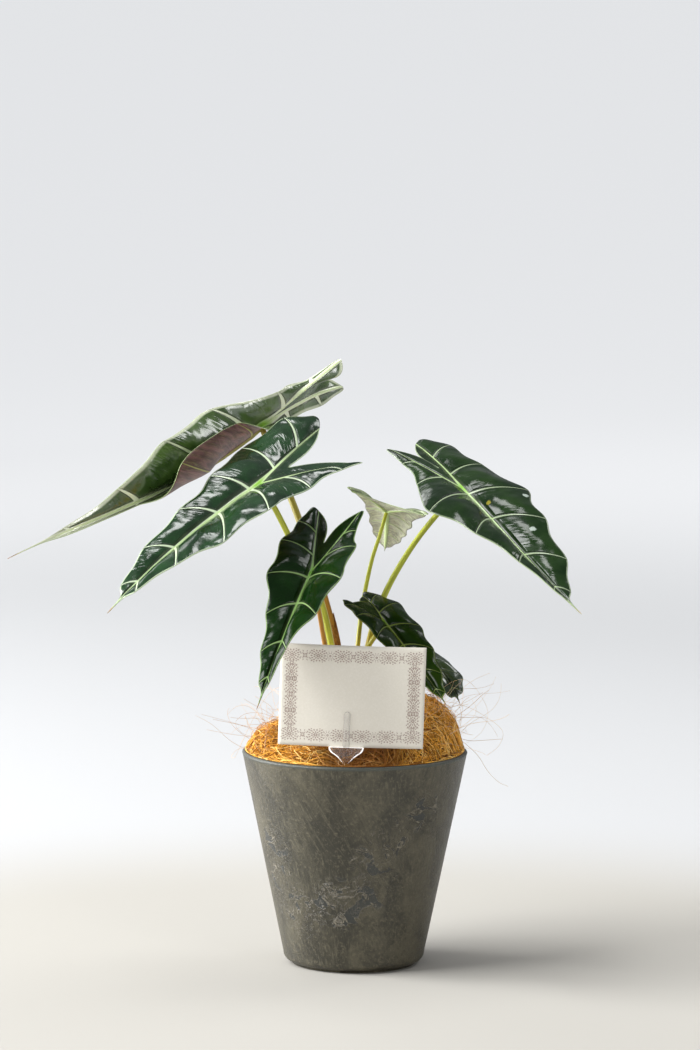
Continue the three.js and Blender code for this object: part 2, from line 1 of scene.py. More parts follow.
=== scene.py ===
"""A potted african mask plant: a young alocasia with seven arrow-shaped leaves in a slate-grey pot.

Everything is worked out in millimetres in the plant's own frame and written to the meshes in metres.
"""

import json
import math

import bpy
import numpy as np
from mathutils import Matrix, Vector

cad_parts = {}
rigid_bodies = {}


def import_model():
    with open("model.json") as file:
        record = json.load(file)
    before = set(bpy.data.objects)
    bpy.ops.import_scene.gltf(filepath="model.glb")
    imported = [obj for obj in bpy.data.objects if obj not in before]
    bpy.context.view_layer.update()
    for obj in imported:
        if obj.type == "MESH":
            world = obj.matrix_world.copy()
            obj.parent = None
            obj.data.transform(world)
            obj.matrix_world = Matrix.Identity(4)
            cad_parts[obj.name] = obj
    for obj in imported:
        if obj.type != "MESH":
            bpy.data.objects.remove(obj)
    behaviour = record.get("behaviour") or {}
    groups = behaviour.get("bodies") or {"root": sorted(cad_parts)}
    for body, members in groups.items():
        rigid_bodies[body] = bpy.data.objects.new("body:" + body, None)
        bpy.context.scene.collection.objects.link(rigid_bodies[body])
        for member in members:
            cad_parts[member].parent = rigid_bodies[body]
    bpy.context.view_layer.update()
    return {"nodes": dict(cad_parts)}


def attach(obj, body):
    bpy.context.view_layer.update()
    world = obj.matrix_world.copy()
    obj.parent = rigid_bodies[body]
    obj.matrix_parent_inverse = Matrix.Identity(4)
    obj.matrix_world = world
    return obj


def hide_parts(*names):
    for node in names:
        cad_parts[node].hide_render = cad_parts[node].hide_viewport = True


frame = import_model()

# Viewpoint
# The plant is seen from a little above the leaves, from far off with a long lens.
VIEW_PLACE = Vector((-0.00435, -3.637, 0.7447))
VIEW_DOWN = 6.592
VIEW_ROLL = 0.288
VIEW_LENS = 171.43

scene = bpy.context.scene
camera_data = bpy.data.cameras.new("viewpoint")
camera_data.lens = VIEW_LENS
camera_data.sensor_width = 36
camera_data.clip_end = 900
camera = bpy.data.objects.new("viewpoint", camera_data)
camera.matrix_world = (
    Matrix.Translation(VIEW_PLACE)
    @ Matrix.Rotation(math.radians(90 - VIEW_DOWN), 4, "X")
    @ Matrix.Rotation(math.radians(VIEW_ROLL), 4, "Z")
)
scene.collection.objects.link(camera)
scene.camera = camera
scene.view_settings.view_transform = "Standard"

# Light
# Soft studio light: a wide sky from the left, large soft windows above, behind and at the left that give
# the leaves their bright reflections, weaker ones at the right and in front, and a dim room around.
SKY_COURSE = Vector((0.72, 0.22, -0.70))
# Each window's place, the point it faces, its width and height in metres, and its power.
WINDOWS = {
    "window_above": ((-0.25, 0.35, 2.3), (-0.05, 0, 0.33), 0.5, 1.0, 13),
    "window_behind": ((-1.6, 2.3, 1.4), (-0.05, 0, 0.33), 2.2, 1.3, 19),
    "window_high": ((-1.25, -0.75, 1.9), (-0.15, 0.03, 0.38), 0.6, 0.9, 9),
    "window_left": ((-2.3, 0.5, 0.6), (-0.05, 0, 0.15), 0.9, 0.9, 85),
    "window_right": ((1.7, -2.4, 0.8), (0.05, 0, 0.15), 0.8, 0.8, 20),
    "window_far_right": ((1.4, 0.9, 1.7), (0, 0.05, 0.33), 0.7, 0.7, 8),
    "window_front": ((-1.7, -3.0, 1.2), (0, 0, 0.2), 1.5, 1.5, 16),
}

world = bpy.data.worlds.new("dim_room")
world.use_nodes = True
room = world.node_tree.nodes["Background"].inputs
room["Color"].default_value = (0.93, 0.955, 1.0, 1)
room["Strength"].default_value = 0.24
scene.world = world


def add_light(data, course):
    """A light that shines along its course."""
    light = bpy.data.objects.new(data.name, data)
    light.rotation_euler = course.to_track_quat("-Z", "Y").to_euler()
    scene.collection.objects.link(light)
    return light


sky = bpy.data.lights.new("soft_sky", "SUN")
sky.energy = 3.8
sky.angle = math.radians(38)
sky.color = (0.985, 0.99, 1.0)
add_light(sky, SKY_COURSE)
for name, (place, target, width, height, power) in WINDOWS.items():
    window = bpy.data.lights.new(name, "AREA")
    window.shape = "RECTANGLE"
    window.size, window.size_y = width, height
    window.energy = power
    add_light(window, Vector(target) - Vector(place)).location = place

# Pot
# A cast planter with a brushed slate-grey coat: straight taper, rounded lip, small recessed foot. The
# coat is cloudy, streaked by the brush and crusted in a few places.
MM = 0.001
POT_HEIGHT = 158
RIM_RADIUS = 83
BASE_RADIUS = 52
BASE_TOP = 8
WALL = 4
FLOOR = 5
LIP_ROUND = 2.0
# Where the coat is crusted and how far the crust reaches, in metres.
CRUSTS = (((-0.059, -0.034, 0.087), 0.026), ((-0.052, -0.035, 0.059), 0.028),
          ((-0.040, -0.045, 0.043), 0.026), ((-0.012, -0.060, 0.054), 0.028),
          ((0.015, -0.062, 0.068), 0.026), ((0.013, -0.066, 0.086), 0.022),
          ((0.027, -0.066, 0.103), 0.022), ((0.050, -0.056, 0.122), 0.022),
          ((0.030, 0.062, 0.070), 0.034), ((-0.060, 0.020, 0.110), 0.030),
          ((0.064, 0.020, 0.050), 0.028))


def add_piece(name, points, quads, tris=None, corners=None, values=None, slots=None, smooth=True):
    """A mesh piece from whole arrays.

    points (n, 3) in mm; quads (q, 4) and tris (t, 3) index them; corners maps a UV layer's name to
    (loops, 2) values, quads first; values maps an attribute's name to (n,) numbers; slots (q + t,)
    gives each face's material number.
    """
    tris = np.zeros((0, 3), int) if tris is None else tris
    mesh = bpy.data.meshes.new(name)
    mesh.vertices.add(len(points))
    mesh.vertices.foreach_set("co", (np.asarray(points, float) * MM).ravel())
    loops = np.concatenate([quads.ravel(), tris.ravel()]).astype(np.int32)
    sizes = np.concatenate([np.full(len(quads), 4), np.full(len(tris), 3)])
    mesh.loops.add(len(loops))
    mesh.loops.foreach_set("vertex_index", loops)
    mesh.polygons.add(len(sizes))
    mesh.polygons.foreach_set("loop_start", (np.cumsum(sizes) - sizes).astype(np.int32))
    mesh.update(calc_edges=True)
    for layer, uv in (corners or {}).items():
        mesh.uv_layers.new(name=layer).data.foreach_set("uv", np.asarray(uv, np.float32).ravel())
    for key, value in (values or {}).items():
        attribute = mesh.attributes.new(key, "FLOAT", "POINT")
        attribute.data.foreach_set("value", np.asarray(value, np.float32))
    if slots is not None:
        mesh.polygons.foreach_set("material_index", np.asarray(slots, np.int32))
    mesh.polygons.foreach_set("use_smooth", np.full(len(sizes), smooth))
    piece = bpy.data.objects.new(name, mesh)
    scene.collection.objects.link(piece)
    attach(piece, "root")
    return piece


def grid_quads(rows, columns, closed=False, start=0):
    """Quads of a grid numbered row by row; closed joins the last column to the first."""
    i, j = np.meshgrid(np.arange(rows - 1), np.arange(columns if closed else columns - 1), indexing="ij")
    k = (j + 1) % columns
    return start + np.stack([i * columns + j, i * columns + k, (i + 1) * columns + k,
                             (i + 1) * columns + j], -1).reshape(-1, 4)


class Finish:
    """A material written as short steps: each adds one node and gives its output, and any number or
    colour that a step takes may be another's output. The body is the colour painted so far."""

    def __init__(self, name):
        self.material = bpy.data.materials.new(name)
        self.material.use_nodes = True
        self.tree = self.material.node_tree
        self.objects = self.node("TexCoord", "Object")
        self.body = None

    def give(self, socket, value):
        if isinstance(value, bpy.types.NodeSocket):
            self.tree.links.new(value, socket)
        else:
            socket.default_value = (*value, 1) if socket.type == "RGBA" else value

    def node(self, kind, output=0, inputs=None, **options):
        node = self.tree.nodes.new(f"ShaderNode{kind}")
        for key, value in options.items():
            setattr(node, key, value)
        for key, value in (inputs or {}).items():
            self.give(node.inputs[key], value)
        return node.outputs[output]

    def done(self, **inputs):
        """The finished material, its shader given the body as colour and these inputs."""
        shader = self.tree.nodes["Principled BSDF"].inputs
        for key, value in {"Base_Color": self.body, **inputs}.items():
            self.give(shader[key.replace("_", " ")], value)
        return self.material

    def math(self, operation, first, *others):
        """The operation on the first number and the next, then on the result and the one after."""
        for other in others or (0.0,):
            first = self.node("Math", 0, {0: first, 1: other}, operation=operation)
        return first

    def times(self, *numbers):
        return self.math("MULTIPLY", *numbers)

    def add(self, *numbers):
        return self.math("ADD", *numbers)

    def off(self, a, b):
        """How far a is from b."""
        return self.math("ABSOLUTE", self.math("SUBTRACT", a, b))

    def fade(self, value, low, high, start=0.0, end=1.0):
        """Runs smoothly from start to end as the value goes from low to high."""
        return self.node("MapRange", 0, {"Value": value, "From Min": low, "From Max": high, "To Min": start,
                                         "To Max": end}, interpolation_type="SMOOTHSTEP")

    def mix(self, share, a, b):
        return self.node("Mix", "Result", {"Factor": share, "A": a, "B": b}, data_type="RGBA")

    def between(self, a, b, value, low, high):
        """One colour where the value is low and the other where it is high."""
        return self.mix(self.fade(value, low, high), a, b)

    def paint(self, colour, value, low=None, high=None, most=1.0):
        """Lays a colour over the body: none of it at the low value and the most at the high one."""
        share = value if low is None else self.fade(value, low, high, 0.0, most)
        self.body = self.mix(share, self.body, colour)

    def leant(self, angle):
        """The object's coordinates turned about +Y by an angle in degrees."""
        return self.node("Mapping", 0, {"Vector": self.objects, "Rotation": (0, math.radians(angle), 0)})

    def noise(self, scale, detail=3, rough=0.5, bend=0.0, stretch=None, on=None):
        """Cloudy noise on the object's coordinates or others, stretched or not."""
        on = on or self.objects
        if stretch:
            on = self.node("Mapping", 0, {"Vector": on, "Scale": stretch})
        return self.node("TexNoise", "Fac", {"Vector": on, "Scale": scale, "Detail": detail,
                                             "Roughness": rough, "Distortion": bend})

    def nearness(self, place, reach):
        """1 at a place in metres, fading to 0 at the reach."""
        return self.fade(self.node("VectorMath", "Value", {0: self.objects, 1: place}, operation="DISTANCE"),
                         reach, 0.0)

    def value(self, name):
        return self.node("Attribute", "Fac", attribute_name=name)

    def layout(self, name):
        return self.node("UVMap", uv_map=name)

    def part(self, axis, of=None):
        return self.node("SeparateXYZ", axis, {0: of or self.objects})

    def bump(self, height, depth):
        return self.node("Bump", 0, {"Distance": depth, "Height": height})


def outer_radius(z):
    """Radius of the pot's outside at a height: a straight line from the base to the rim."""
    return BASE_RADIUS + (RIM_RADIUS - BASE_RADIUS) * (z - BASE_TOP) / (POT_HEIGHT - BASE_TOP)


def pot_profile():
    """Half section from the centre of the foot, up the outside, over the rounded lip and down inside."""
    turn = np.radians(np.linspace(-80, 0, 8))
    base_round = np.stack([outer_radius(BASE_TOP) - 6 + 6 * np.cos(turn), BASE_TOP + 6.2 * np.sin(turn)], 1)
    side = np.linspace(BASE_TOP + 0.5, POT_HEIGHT - 2.4, 60)
    side = np.stack([outer_radius(side), side], 1)
    turn = np.radians(np.linspace(15, 180, 12))
    lip = np.stack([RIM_RADIUS - 2.05 + LIP_ROUND * np.cos(turn),
                    POT_HEIGHT - 2 + LIP_ROUND * np.sin(turn)], 1)
    inside = np.linspace(POT_HEIGHT - 3, FLOOR + 5, 16)
    inside = np.stack([outer_radius(inside) - WALL, inside], 1)
    return np.concatenate([[[0.01, 0], [30, 0], [45.6, 0], [46, 0.4], [46, 1.9]], base_round, side,
                           lip, inside, [[outer_radius(FLOOR) - WALL - 5, FLOOR], [0.01, FLOOR]]])


def lathe(profile, sides):
    """The profile carried round the upright axis."""
    a = np.linspace(0, 2 * math.pi, sides, endpoint=False)
    r, z = profile[:, :1], np.repeat(profile[:, 1:], sides, 1)
    points = np.stack([r * np.cos(a), r * np.sin(a), z], -1).reshape(-1, 3)
    return points, grid_quads(len(profile), sides, closed=True)


pot = add_piece("planter", *lathe(pot_profile(), 192))
coat = Finish("brushed_slate_coat")
cloud = coat.noise(36, 5, 0.66, 0.9, (1, 1, 0.65))
haze = coat.noise(12, 2, 0.5, 0.4)
# The brush ran down the wall in some places and aslant, from the upper left, in others.
down = coat.noise(620, 4, 0.68, 0.1, (1, 1, 0.055), coat.leant(4))
slant = coat.noise(520, 4, 0.68, 0.1, (1, 1, 0.06), coat.leant(33))
streaks = coat.between(down, slant, coat.noise(17, 1), 0.47, 0.56)
crumb = coat.noise(400, 5, 0.74)
coat.body = coat.between((0.029, 0.026, 0.016), (0.080, 0.071, 0.045), cloud, 0.36, 0.64)
coat.paint((0.027, 0.026, 0.018), haze, 0.55, 0.35, 0.45)
coat.paint((0.122, 0.109, 0.070), streaks, 0.50, 0.70, 0.6)
coat.paint((0.018, 0.017, 0.010), streaks, 0.46, 0.30, 0.6)
coat.paint((0.135, 0.118, 0.076), crumb, 0.52, 0.66, 0.55)
coat.paint((0.014, 0.013, 0.008), crumb, 0.44, 0.30, 0.5)
# A crust has dark flakes, and pale lines round them and across.
crust = coat.fade(coat.math("MAXIMUM", *[coat.nearness(place, reach) for place, reach in CRUSTS]), 0.05, 0.4)
shell = coat.noise(58, 3, 0.55, 1.3)
flake = coat.times(coat.fade(shell, 0.575, 0.59), crust)
line = coat.math("MAXIMUM", coat.fade(coat.off(coat.noise(95, 4, 0.6, 1.6), 0.5), 0.022, 0.0),
                 coat.fade(coat.off(shell, 0.565), 0.022, 0.004))
line = coat.times(line, crust, coat.fade(crumb, 0.35, 0.6, 0.3, 1.0))
coat.paint((0.028, 0.032, 0.031), coat.times(flake, 0.8))
coat.paint((0.23, 0.205, 0.155), coat.times(line, 0.85))
coat.paint((0.053, 0.060, 0.050), coat.part("Z"), 0.1548, 0.1560, 0.8)
relief = coat.add(coat.times(streaks, 0.45), coat.times(crumb, 0.8), line, coat.times(flake, -0.5))
pot.data.materials.append(coat.done(Roughness=coat.fade(streaks, 0.3, 0.7, 0.36, 0.52),
                                    Normal=coat.bump(relief, 0.0005)))
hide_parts("pot")

# Potting soil
# Dark crumbly potting mix. It fills the pot and is hidden by the fibre on top.
earth = Finish("potting_soil")
crumbs = earth.noise(320, 5, 0.7)
earth.body = earth.between((0.012, 0.008, 0.005), (0.06, 0.036, 0.022), crumbs, 0.35, 0.65)
soil = frame["nodes"]["soil"].data
soil.materials.clear()
soil.materials.append(earth.done(Roughness=0.95, Normal=earth.bump(crumbs, 0.001)))

# Coconut fibre
# A cushion of golden-brown coconut fibre that covers the soil: a felted core, a mat of strands
# lying over it in all directions, and long loose strands that stand out in loops.
GAP = 0.3
SOIL_TOP = 147
MOUND_RISE = 34
MOUND_LEAN_RIGHT = 14
MOUND_DIP_FRONT = 20
MOUND_RADIUS = RIM_RADIUS - WALL - GAP - 0.4
MAT_STRANDS = 3400
FLEECE_STRANDS = 2100
CURLS = 620
LOOSE_STRANDS = 190
LOOSE_STEPS = 30
# The longest loops, each by the points it runs through: over the rim, two wide ones at the right and one
# at the left.
STRAYS = (
    ((70, -6, 172), (78, -4, 166), (84, -3, 161), (91, -3, 154),
     (98, -4, 143), (106, -4, 135), (113, -5, 132)),
    ((56, 12, 186), (63, 10, 192), (80, 8, 190), (98, 6, 181),
     (109, 4, 171), (106, 2, 161), (97, 0, 154)),
    ((54, 16, 184), (66, 14, 203), (81, 10, 209), (93, 6, 197),
     (98, 4, 184), (93, 2, 171), (82, 0, 163)),
    ((-52, 4, 172), (-62, 4, 182), (-80, 3, 184), (-88, 2, 177),
     (-83, 0, 170), (-72, -2, 167), (-60, -4, 166)),
)
random = np.random.default_rng(11)


def unit(vectors):
    return vectors / np.linalg.norm(vectors, axis=-1, keepdims=True)


def pushed_down(x, y):
    """How far the fibre is pushed down before the card: wholly at its pick and half at the right of it,
    two bells e^(-(distance / width)^2)."""
    return (0.85 * np.exp(-((x + 5) / 15) ** 2 - ((y + 74) / 13) ** 2)
            + 0.45 * np.exp(-((x - 30) / 22) ** 2 - ((y + 72) / 13) ** 2))


def mound_height(x, y):
    """A cushion that falls to the rim, leaning to the right and dipping in front, with soft bumps."""
    r = np.minimum(np.hypot(x, y) / MOUND_RADIUS, 1)
    lean = MOUND_LEAN_RIGHT * x / np.hypot(x, 35)
    dip = MOUND_DIP_FRONT * np.minimum(y, 0) / np.hypot(y, 35)
    bumps = 2 * np.sin(x / 9 + 1) * np.sin(y / 8) + 1.2 * np.sin(x / 4.3 + y / 5.1)
    return POT_HEIGHT - 1 + (MOUND_RISE + lean + dip + bumps) * (1 - r * r) ** 0.4 * (1 - pushed_down(x, y))


def mound_surface(rings, around):
    """The felted core, a little below the mound's outer height, closed underneath."""
    a = np.linspace(0, 2 * math.pi, around, endpoint=False)
    r = MOUND_RADIUS * np.sin(np.linspace(0.0005, math.pi / 2, rings))[:, None]
    x, y = r * np.cos(a), r * np.sin(a)
    lumps = 0.5 * np.sin(x / 1.9 + 2 * np.sin(y / 3.1)) + 0.5 * np.sin(y / 1.6 + 2 * np.sin(x / 2.7))
    z = mound_height(x, y) - 3.4 + lumps * (1 - (r / MOUND_RADIUS) ** 6)
    below = [np.stack([k * x[-1:], k * y[-1:], np.full((1, around), SOIL_TOP + GAP)], -1)
             for k in (0.96, 0.001)]
    points = np.concatenate([np.stack([x, y, z], -1), *below]).reshape(-1, 3)
    return points, grid_quads(rings + 2, around, closed=True)[:, ::-1]


def tubes(paths, radius, sides):
    """Thin closed tubes: a ring of the given radius carried along each path and capped by fans. The ring
    lies across the path, from two directions at right angles to its course.
    paths (f, k, 3), radius (f, k)."""
    f, k, _ = paths.shape
    course = unit(np.gradient(paths, axis=1))
    helper = np.where(np.abs(course[:, :1, 2:]) > 0.8, [1.0, 0.0, 0.0], [0.0, 0.0, 1.0])
    across = unit(np.cross(course, helper))
    over = np.cross(course, across)
    a = np.linspace(0, 2 * math.pi, sides, endpoint=False)
    rings = (paths[:, :, None] + radius[:, :, None, None]
             * (np.cos(a)[:, None] * across[:, :, None] + np.sin(a)[:, None] * over[:, :, None]))
    fan = np.stack([np.zeros(sides - 2, int), np.arange(1, sides - 1), np.arange(2, sides)], 1)
    caps = np.concatenate([fan, fan[:, ::-1] + (k - 1) * sides])
    first = (np.arange(f) * k * sides)[:, None, None]
    return (rings.reshape(-1, 3), (grid_quads(k, sides, closed=True) + first).reshape(-1, 4),
            (caps + first).reshape(-1, 3))


def lying_strands(count, steps, low, high, reach):
    """Strands that wander over the mound: each starts anywhere, keeps a heading that turns a little,
    floats at its own small height above the felt and dives into it at both ends. Those that come to
    the edge lie on the pot's lip, no further out than the reach."""
    s = np.linspace(0, 1, steps)
    start = MOUND_RADIUS * np.sqrt(random.uniform(0.02, 1.0, count))[:, None]
    angle = random.uniform(0, 2 * math.pi, count)[:, None]
    length = random.uniform(14, 52, count)[:, None]
    heading = random.uniform(0, 2 * math.pi, count)[:, None]
    turn = random.normal(0, 1.7, count)[:, None]
    wave = random.uniform(0, 2 * math.pi, count)[:, None]
    course = heading + turn * s + 0.3 * np.sin(6 * s + wave)
    step = length / (steps - 1)
    x = start * np.cos(angle) + np.cumsum(np.cos(course), 1) * step
    y = start * np.sin(angle) + np.cumsum(np.sin(course), 1) * step
    inside = np.minimum(1, reach / np.hypot(x, y))
    x, y = x * inside, y * inside
    lift = random.uniform(low, high, count)[:, None] * np.sin(math.pi * s) ** 0.5
    z = mound_height(x, y) - 1.2 + lift * (1 - pushed_down(x, y)) + 0.5 * np.sin(9 * s + wave)
    z = np.where(np.hypot(x, y) > MOUND_RADIUS - 0.8, np.maximum(z, POT_HEIGHT + 0.5), z)
    return np.stack([x, y, z], -1)


def loose_strands(count, steps):
    """Long strands that leave the mound, mostly at its sides, and wander off in loops: the course of each
    keeps turning about an axis of its own, with a slow sway (the turned course is c cos w + a x c sin w
    + a (a . c) (1 - cos w))."""
    s = np.linspace(0, 1, steps)[None, :, None]
    toward = np.where(random.random(count) < 0.55, 0.0, math.pi) + random.normal(0, 0.75, count)
    start = MOUND_RADIUS * random.uniform(0.55, 0.99, count)
    length = random.uniform(14, 58, count) * np.where(random.random(count) < 0.2, 2.2, 1.0)
    foot = np.stack([start * np.cos(toward), start * np.sin(toward)], -1)
    foot = np.concatenate([foot, mound_height(foot[:, :1], foot[:, 1:]) - 2], -1)[:, None]
    swing = toward + random.normal(0, 0.9, count)
    course = unit(np.stack([np.cos(swing), np.sin(swing), random.uniform(0.0, 1.6, count)], -1))[:, None]
    axis = unit(random.normal(0, 1, (count, 3)))[:, None]
    w = (random.normal(0, 2.4, count)[:, None, None] * s
         + 0.5 * np.sin(5 * s + random.uniform(0, 6, count)[:, None, None]))
    turned = (course * np.cos(w) + np.cross(axis, course) * np.sin(w)
              + axis * (axis * course).sum(-1, keepdims=True) * (1 - np.cos(w)))
    return foot + np.cumsum(turned, 1) * (length / (steps - 1))[:, None, None]


def curve_through(route, steps):
    """A smooth curve through the route's points, in even steps: cubic pieces, with the slope at a point
    taken from its neighbours over times that grow with the root of the distance."""
    p = np.array(route, float)
    p = np.concatenate([[2 * p[0] - p[1]], p, [2 * p[-1] - p[-2]]])
    times = np.concatenate([[0], np.cumsum(np.linalg.norm(np.diff(p, axis=0), axis=1) ** 0.5)])
    slopes = np.gradient(p, times, axis=0)
    u = np.linspace(0, 1, 40)[:, None]
    span = np.diff(times)[1:-1, None, None]
    fine = ((2 * u ** 3 - 3 * u ** 2 + 1) * p[1:-2, None]
            + (u ** 3 - 2 * u ** 2 + u) * span * slopes[1:-2, None]
            + (3 * u ** 2 - 2 * u ** 3) * p[2:-1, None] + (u ** 3 - u ** 2) * span * slopes[2:-1, None])
    fine = fine.reshape(-1, 3)
    run = np.concatenate([[0], np.cumsum(np.linalg.norm(np.diff(fine, axis=0), axis=1))])
    return np.stack([np.interp(np.linspace(0, run[-1], steps), run, fine[:, k]) for k in range(3)], -1)


def strand_piece(name, paths, thin, thick, sides, taper=1.0):
    """All the strands as one piece, each with a thickness and a tone of its own."""
    radius = np.linspace(1.0, taper, paths.shape[1]) * random.uniform(thin, thick, len(paths))[:, None]
    points, quads, caps = tubes(paths, radius, sides)
    tone = np.repeat(random.random(len(paths)), paths.shape[1] * sides)
    return add_piece(name, points, quads, caps, values={"tone": tone})


felt = add_piece("coir_felt", *mound_surface(90, 180))
mat = lying_strands(MAT_STRANDS, 8, -2.4, 0.8, MOUND_RADIUS - 0.8)
under = strand_piece("coir_mat", mat, 0.20, 0.38, 3)
fleece = lying_strands(FLEECE_STRANDS, 10, 0.0, 5.4, RIM_RADIUS - 2.6)
over = strand_piece("coir_fleece", fleece, 0.16, 0.36, 4)
# Curls and loose strands stay clear of the card, the leaves and the pot's wall.
curled = lying_strands(CURLS, 12, 3.5, 9.0, MOUND_RADIUS - 4)
x, y, z = np.moveaxis(curled, -1, 0)
curled = curled[~((y < -50) & (np.abs(x + 2) < 60)).any(1)]
curls = strand_piece("coir_curls", curled, 0.12, 0.22, 4)
loose = loose_strands(LOOSE_STRANDS, LOOSE_STEPS)
x, y, z = np.moveaxis(loose, -1, 0)
radius = np.hypot(x, y)
blocked = (y < -55) & (np.abs(x) < 60) & (z > 164)
blocked |= (radius > RIM_RADIUS - 5) & (radius < RIM_RADIUS + 1) & (z < POT_HEIGHT + 0.4)
blocked |= (z > 214) | (np.abs(y) > 105) | (np.abs(x) > 124)
loose = np.concatenate([loose[~blocked.any(1)], [curve_through(route, LOOSE_STEPS) for route in STRAYS]])
strands = strand_piece("coir_strands", loose, 0.10, 0.18, 4, 0.6)

fibre = Finish("coconut_fibre")
tone = fibre.value("tone")
fibre.body = fibre.between((0.24, 0.080, 0.005), (0.95, 0.47, 0.055), tone, 0.05, 0.7)
fibre.paint((1.0, 0.70, 0.24), tone, 0.72, 0.95)
fibre.paint((0.86, 0.49, 0.09), fibre.noise(900, 2, 0.6), 0.45, 0.8, 0.4)
# In front, under the card, the fibre is pressed down, and a painted shadow of the card makes it dark and
# reddish.
fibre.paint((0.17, 0.052, 0.003), fibre.nearness((0.006, -0.070, 0.160), 0.058), 0.05, 0.7, 0.88)
golden = fibre.done(Roughness=0.55, Specular_IOR_Level=0.25)
fibre = Finish("pale_fibre")
fibre.body = fibre.mix(fibre.value("tone"), (0.46, 0.23, 0.085), (0.80, 0.57, 0.35))
pale = fibre.done(Roughness=0.5)
# The felted core is painted far darker than the strands: painted shade for the deep gaps between them.
fibre = Finish("felt_fibre_in_painted_shade")
shade = fibre.noise(240, 5, 0.65, 1.0)
fibre.body = fibre.between((0.02, 0.006, 0.001), (0.20, 0.075, 0.008), shade, 0.35, 0.68)
felted = fibre.done(Roughness=0.9, Normal=fibre.bump(shade, 0.0015))
for piece, finish in ((felt, felted), (under, golden), (over, golden), (curls, golden), (strands, pale)):
    piece.data.materials.append(finish)
    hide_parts("coir_mound")

# Leaf blades
# Arrow-shaped leaves, stiff and glossy: almost black-green between pale raised veins, purple-brown and
# dull underneath. Three ribs start where the stalk joins: one to the tip and one to each back lobe.
# Six side veins a side end in the scallops of the margin, and the green between them is quilted.
#   turn    heading from +X, slope of the rib at the junction, and roll, in degrees
#   droop   how far the main rib bends down: an even part and a part that grows to the tip
#   bend    how far it bends to the left
#   lobes   length, angle from the rib's line and rise of each lobe, the left one first
#   sinus   depth of the notch between the lobes, in shares of the length; camber: bulge of each half
#   veins   length of each side vein from the tip back; lifts: how steeply it rises from the rib
#   stalk   points it runs through from the fibre to the junction; girth: its radius at foot and top
LEAVES = {
    "back_left": dict(
        junction=(-71, 80, 389), turn=(209, -38, -48), length=232, droop=(-90, 103), bend=-22,
        lobes=((95, 3, -29), (82, -3, 0)), sinus=0.27, camber=(-0.1, 0.08),
        veins=((5, 8, 87, 39, 11, 13), (6, 24, 64, 40, 17, 8)),
        lifts=((-4, 36, 76, 92, -60, -60), (51, 60, 74, 42, 66, -33)),
        stalk=((-11, 5, 202), (-15, 13, 236), (-25, 30, 273), (-43, 55, 324), (-62, 75, 368)),
        girth=(3.6, 2.2)),
    "front_left": dict(
        junction=(-71, -15, 355), turn=(-142, -26, -12), length=165, droop=(4, 3), bend=9,
        lobes=((75, 27, -7), (88, 17, -5)), sinus=0.18,
        veins=((15, 30, 48, 46, 25, 17), (13, 23, 29, 32, 43, 37)),
        lifts=((17, 14, 8, 10, -7, 3), (18, 25, 23, 24, 2, 14)),
        stalk=((-13, -5, 203), (-18, -7, 238), (-26, -10, 271), (-41, -12, 301), (-61, -15, 341)),
        girth=(3.0, 2.0)),
    "front_middle": dict(
        junction=(-32, -48, 295), turn=(-111, -36, 5), length=130, droop=(12, -1), bend=-4,
        lobes=((64, 20, 5), (71, 14, -1)), sinus=0.24,
        veins=((11, 24, 37, 42, 27, 10), (9, 18, 25, 32, 27, 19)),
        lifts=((41, 43, 26, 23, 14, -8), (9, 10, 16, 36, 30, 15)),
        stalk=((-15, -14, 204), (-22, -24, 239), (-27, -38, 269)), girth=(2.4, 1.7)),
    "right": dict(
        junction=(78, 20, 349), turn=(-57, -26, 4), length=168, droop=(9, -11), bend=1,
        lobes=((86, 8, -9), (74, 17, -4)), sinus=0.2,
        veins=((13, 32, 41, 45, 31, 27), (10, 21, 38, 50, 21, 10)),
        lifts=((8, 20, 24, 13, 5, 5), (28, 22, 14, 5, -14, -16)),
        stalk=((5, 3, 202), (11, 17, 239), (22, 32, 270), (41, 32, 304), (62, 26, 332)), girth=(2.8, 1.9)),
    "back_small": dict(
        junction=(23, 62, 328), turn=(89, -31, 19), length=84, droop=(-5, 0), bend=5,
        lobes=((49, 28, -14), (54, 38, -13)), sinus=0.23,
        veins=((7, 15, 18, 19, 21, 15), (7, 15, 20, 22, 22, 16)),
        lifts=((6, 5, 2, 5, 7, 8), (5, 3, -2, -3, 2, 4)),
        stalk=((-1, 14, 200), (2, 20, 234), (5, 28, 260), (12, 45, 293), (18, 55, 311)), girth=(2.2, 1.3)),
    "low_right": dict(
        junction=(21, -12, 254), turn=(-38, -41, 16), length=95, droop=(-17, -6), bend=-25,
        lobes=((39, 19, -21), (29, 21, -6)), sinus=0.26,
        veins=((8, 16, 23, 26, 26, 19), (8, 17, 26, 27, 21, 16)),
        lifts=((15, 17, 15, 4, -7, -9), (12, 13, 16, 21, 18, 15)),
        stalk=((-2, -8, 200), (5, -9, 228), (14, -11, 243)), girth=(2.4, 1.6)),
    "low_far": dict(
        junction=(39, 40, 233.5), turn=(-28, -31, 9), length=64, droop=(15, 12), bend=-12,
        lobes=((32, 18, 5), (32, 18, 5)), sinus=0.22,
        veins=((9, 18, 21, 23, 18, 12), (9, 18, 24, 25, 18, 12)),
        lifts=((30, 16, -3, -18, -4, 0), (-16, -7, 1, 5, 7, 8)),
        stalk=((13, 12, 201), (21, 23, 217), (30, 33, 227)), girth=(2.0, 1.4)),
}
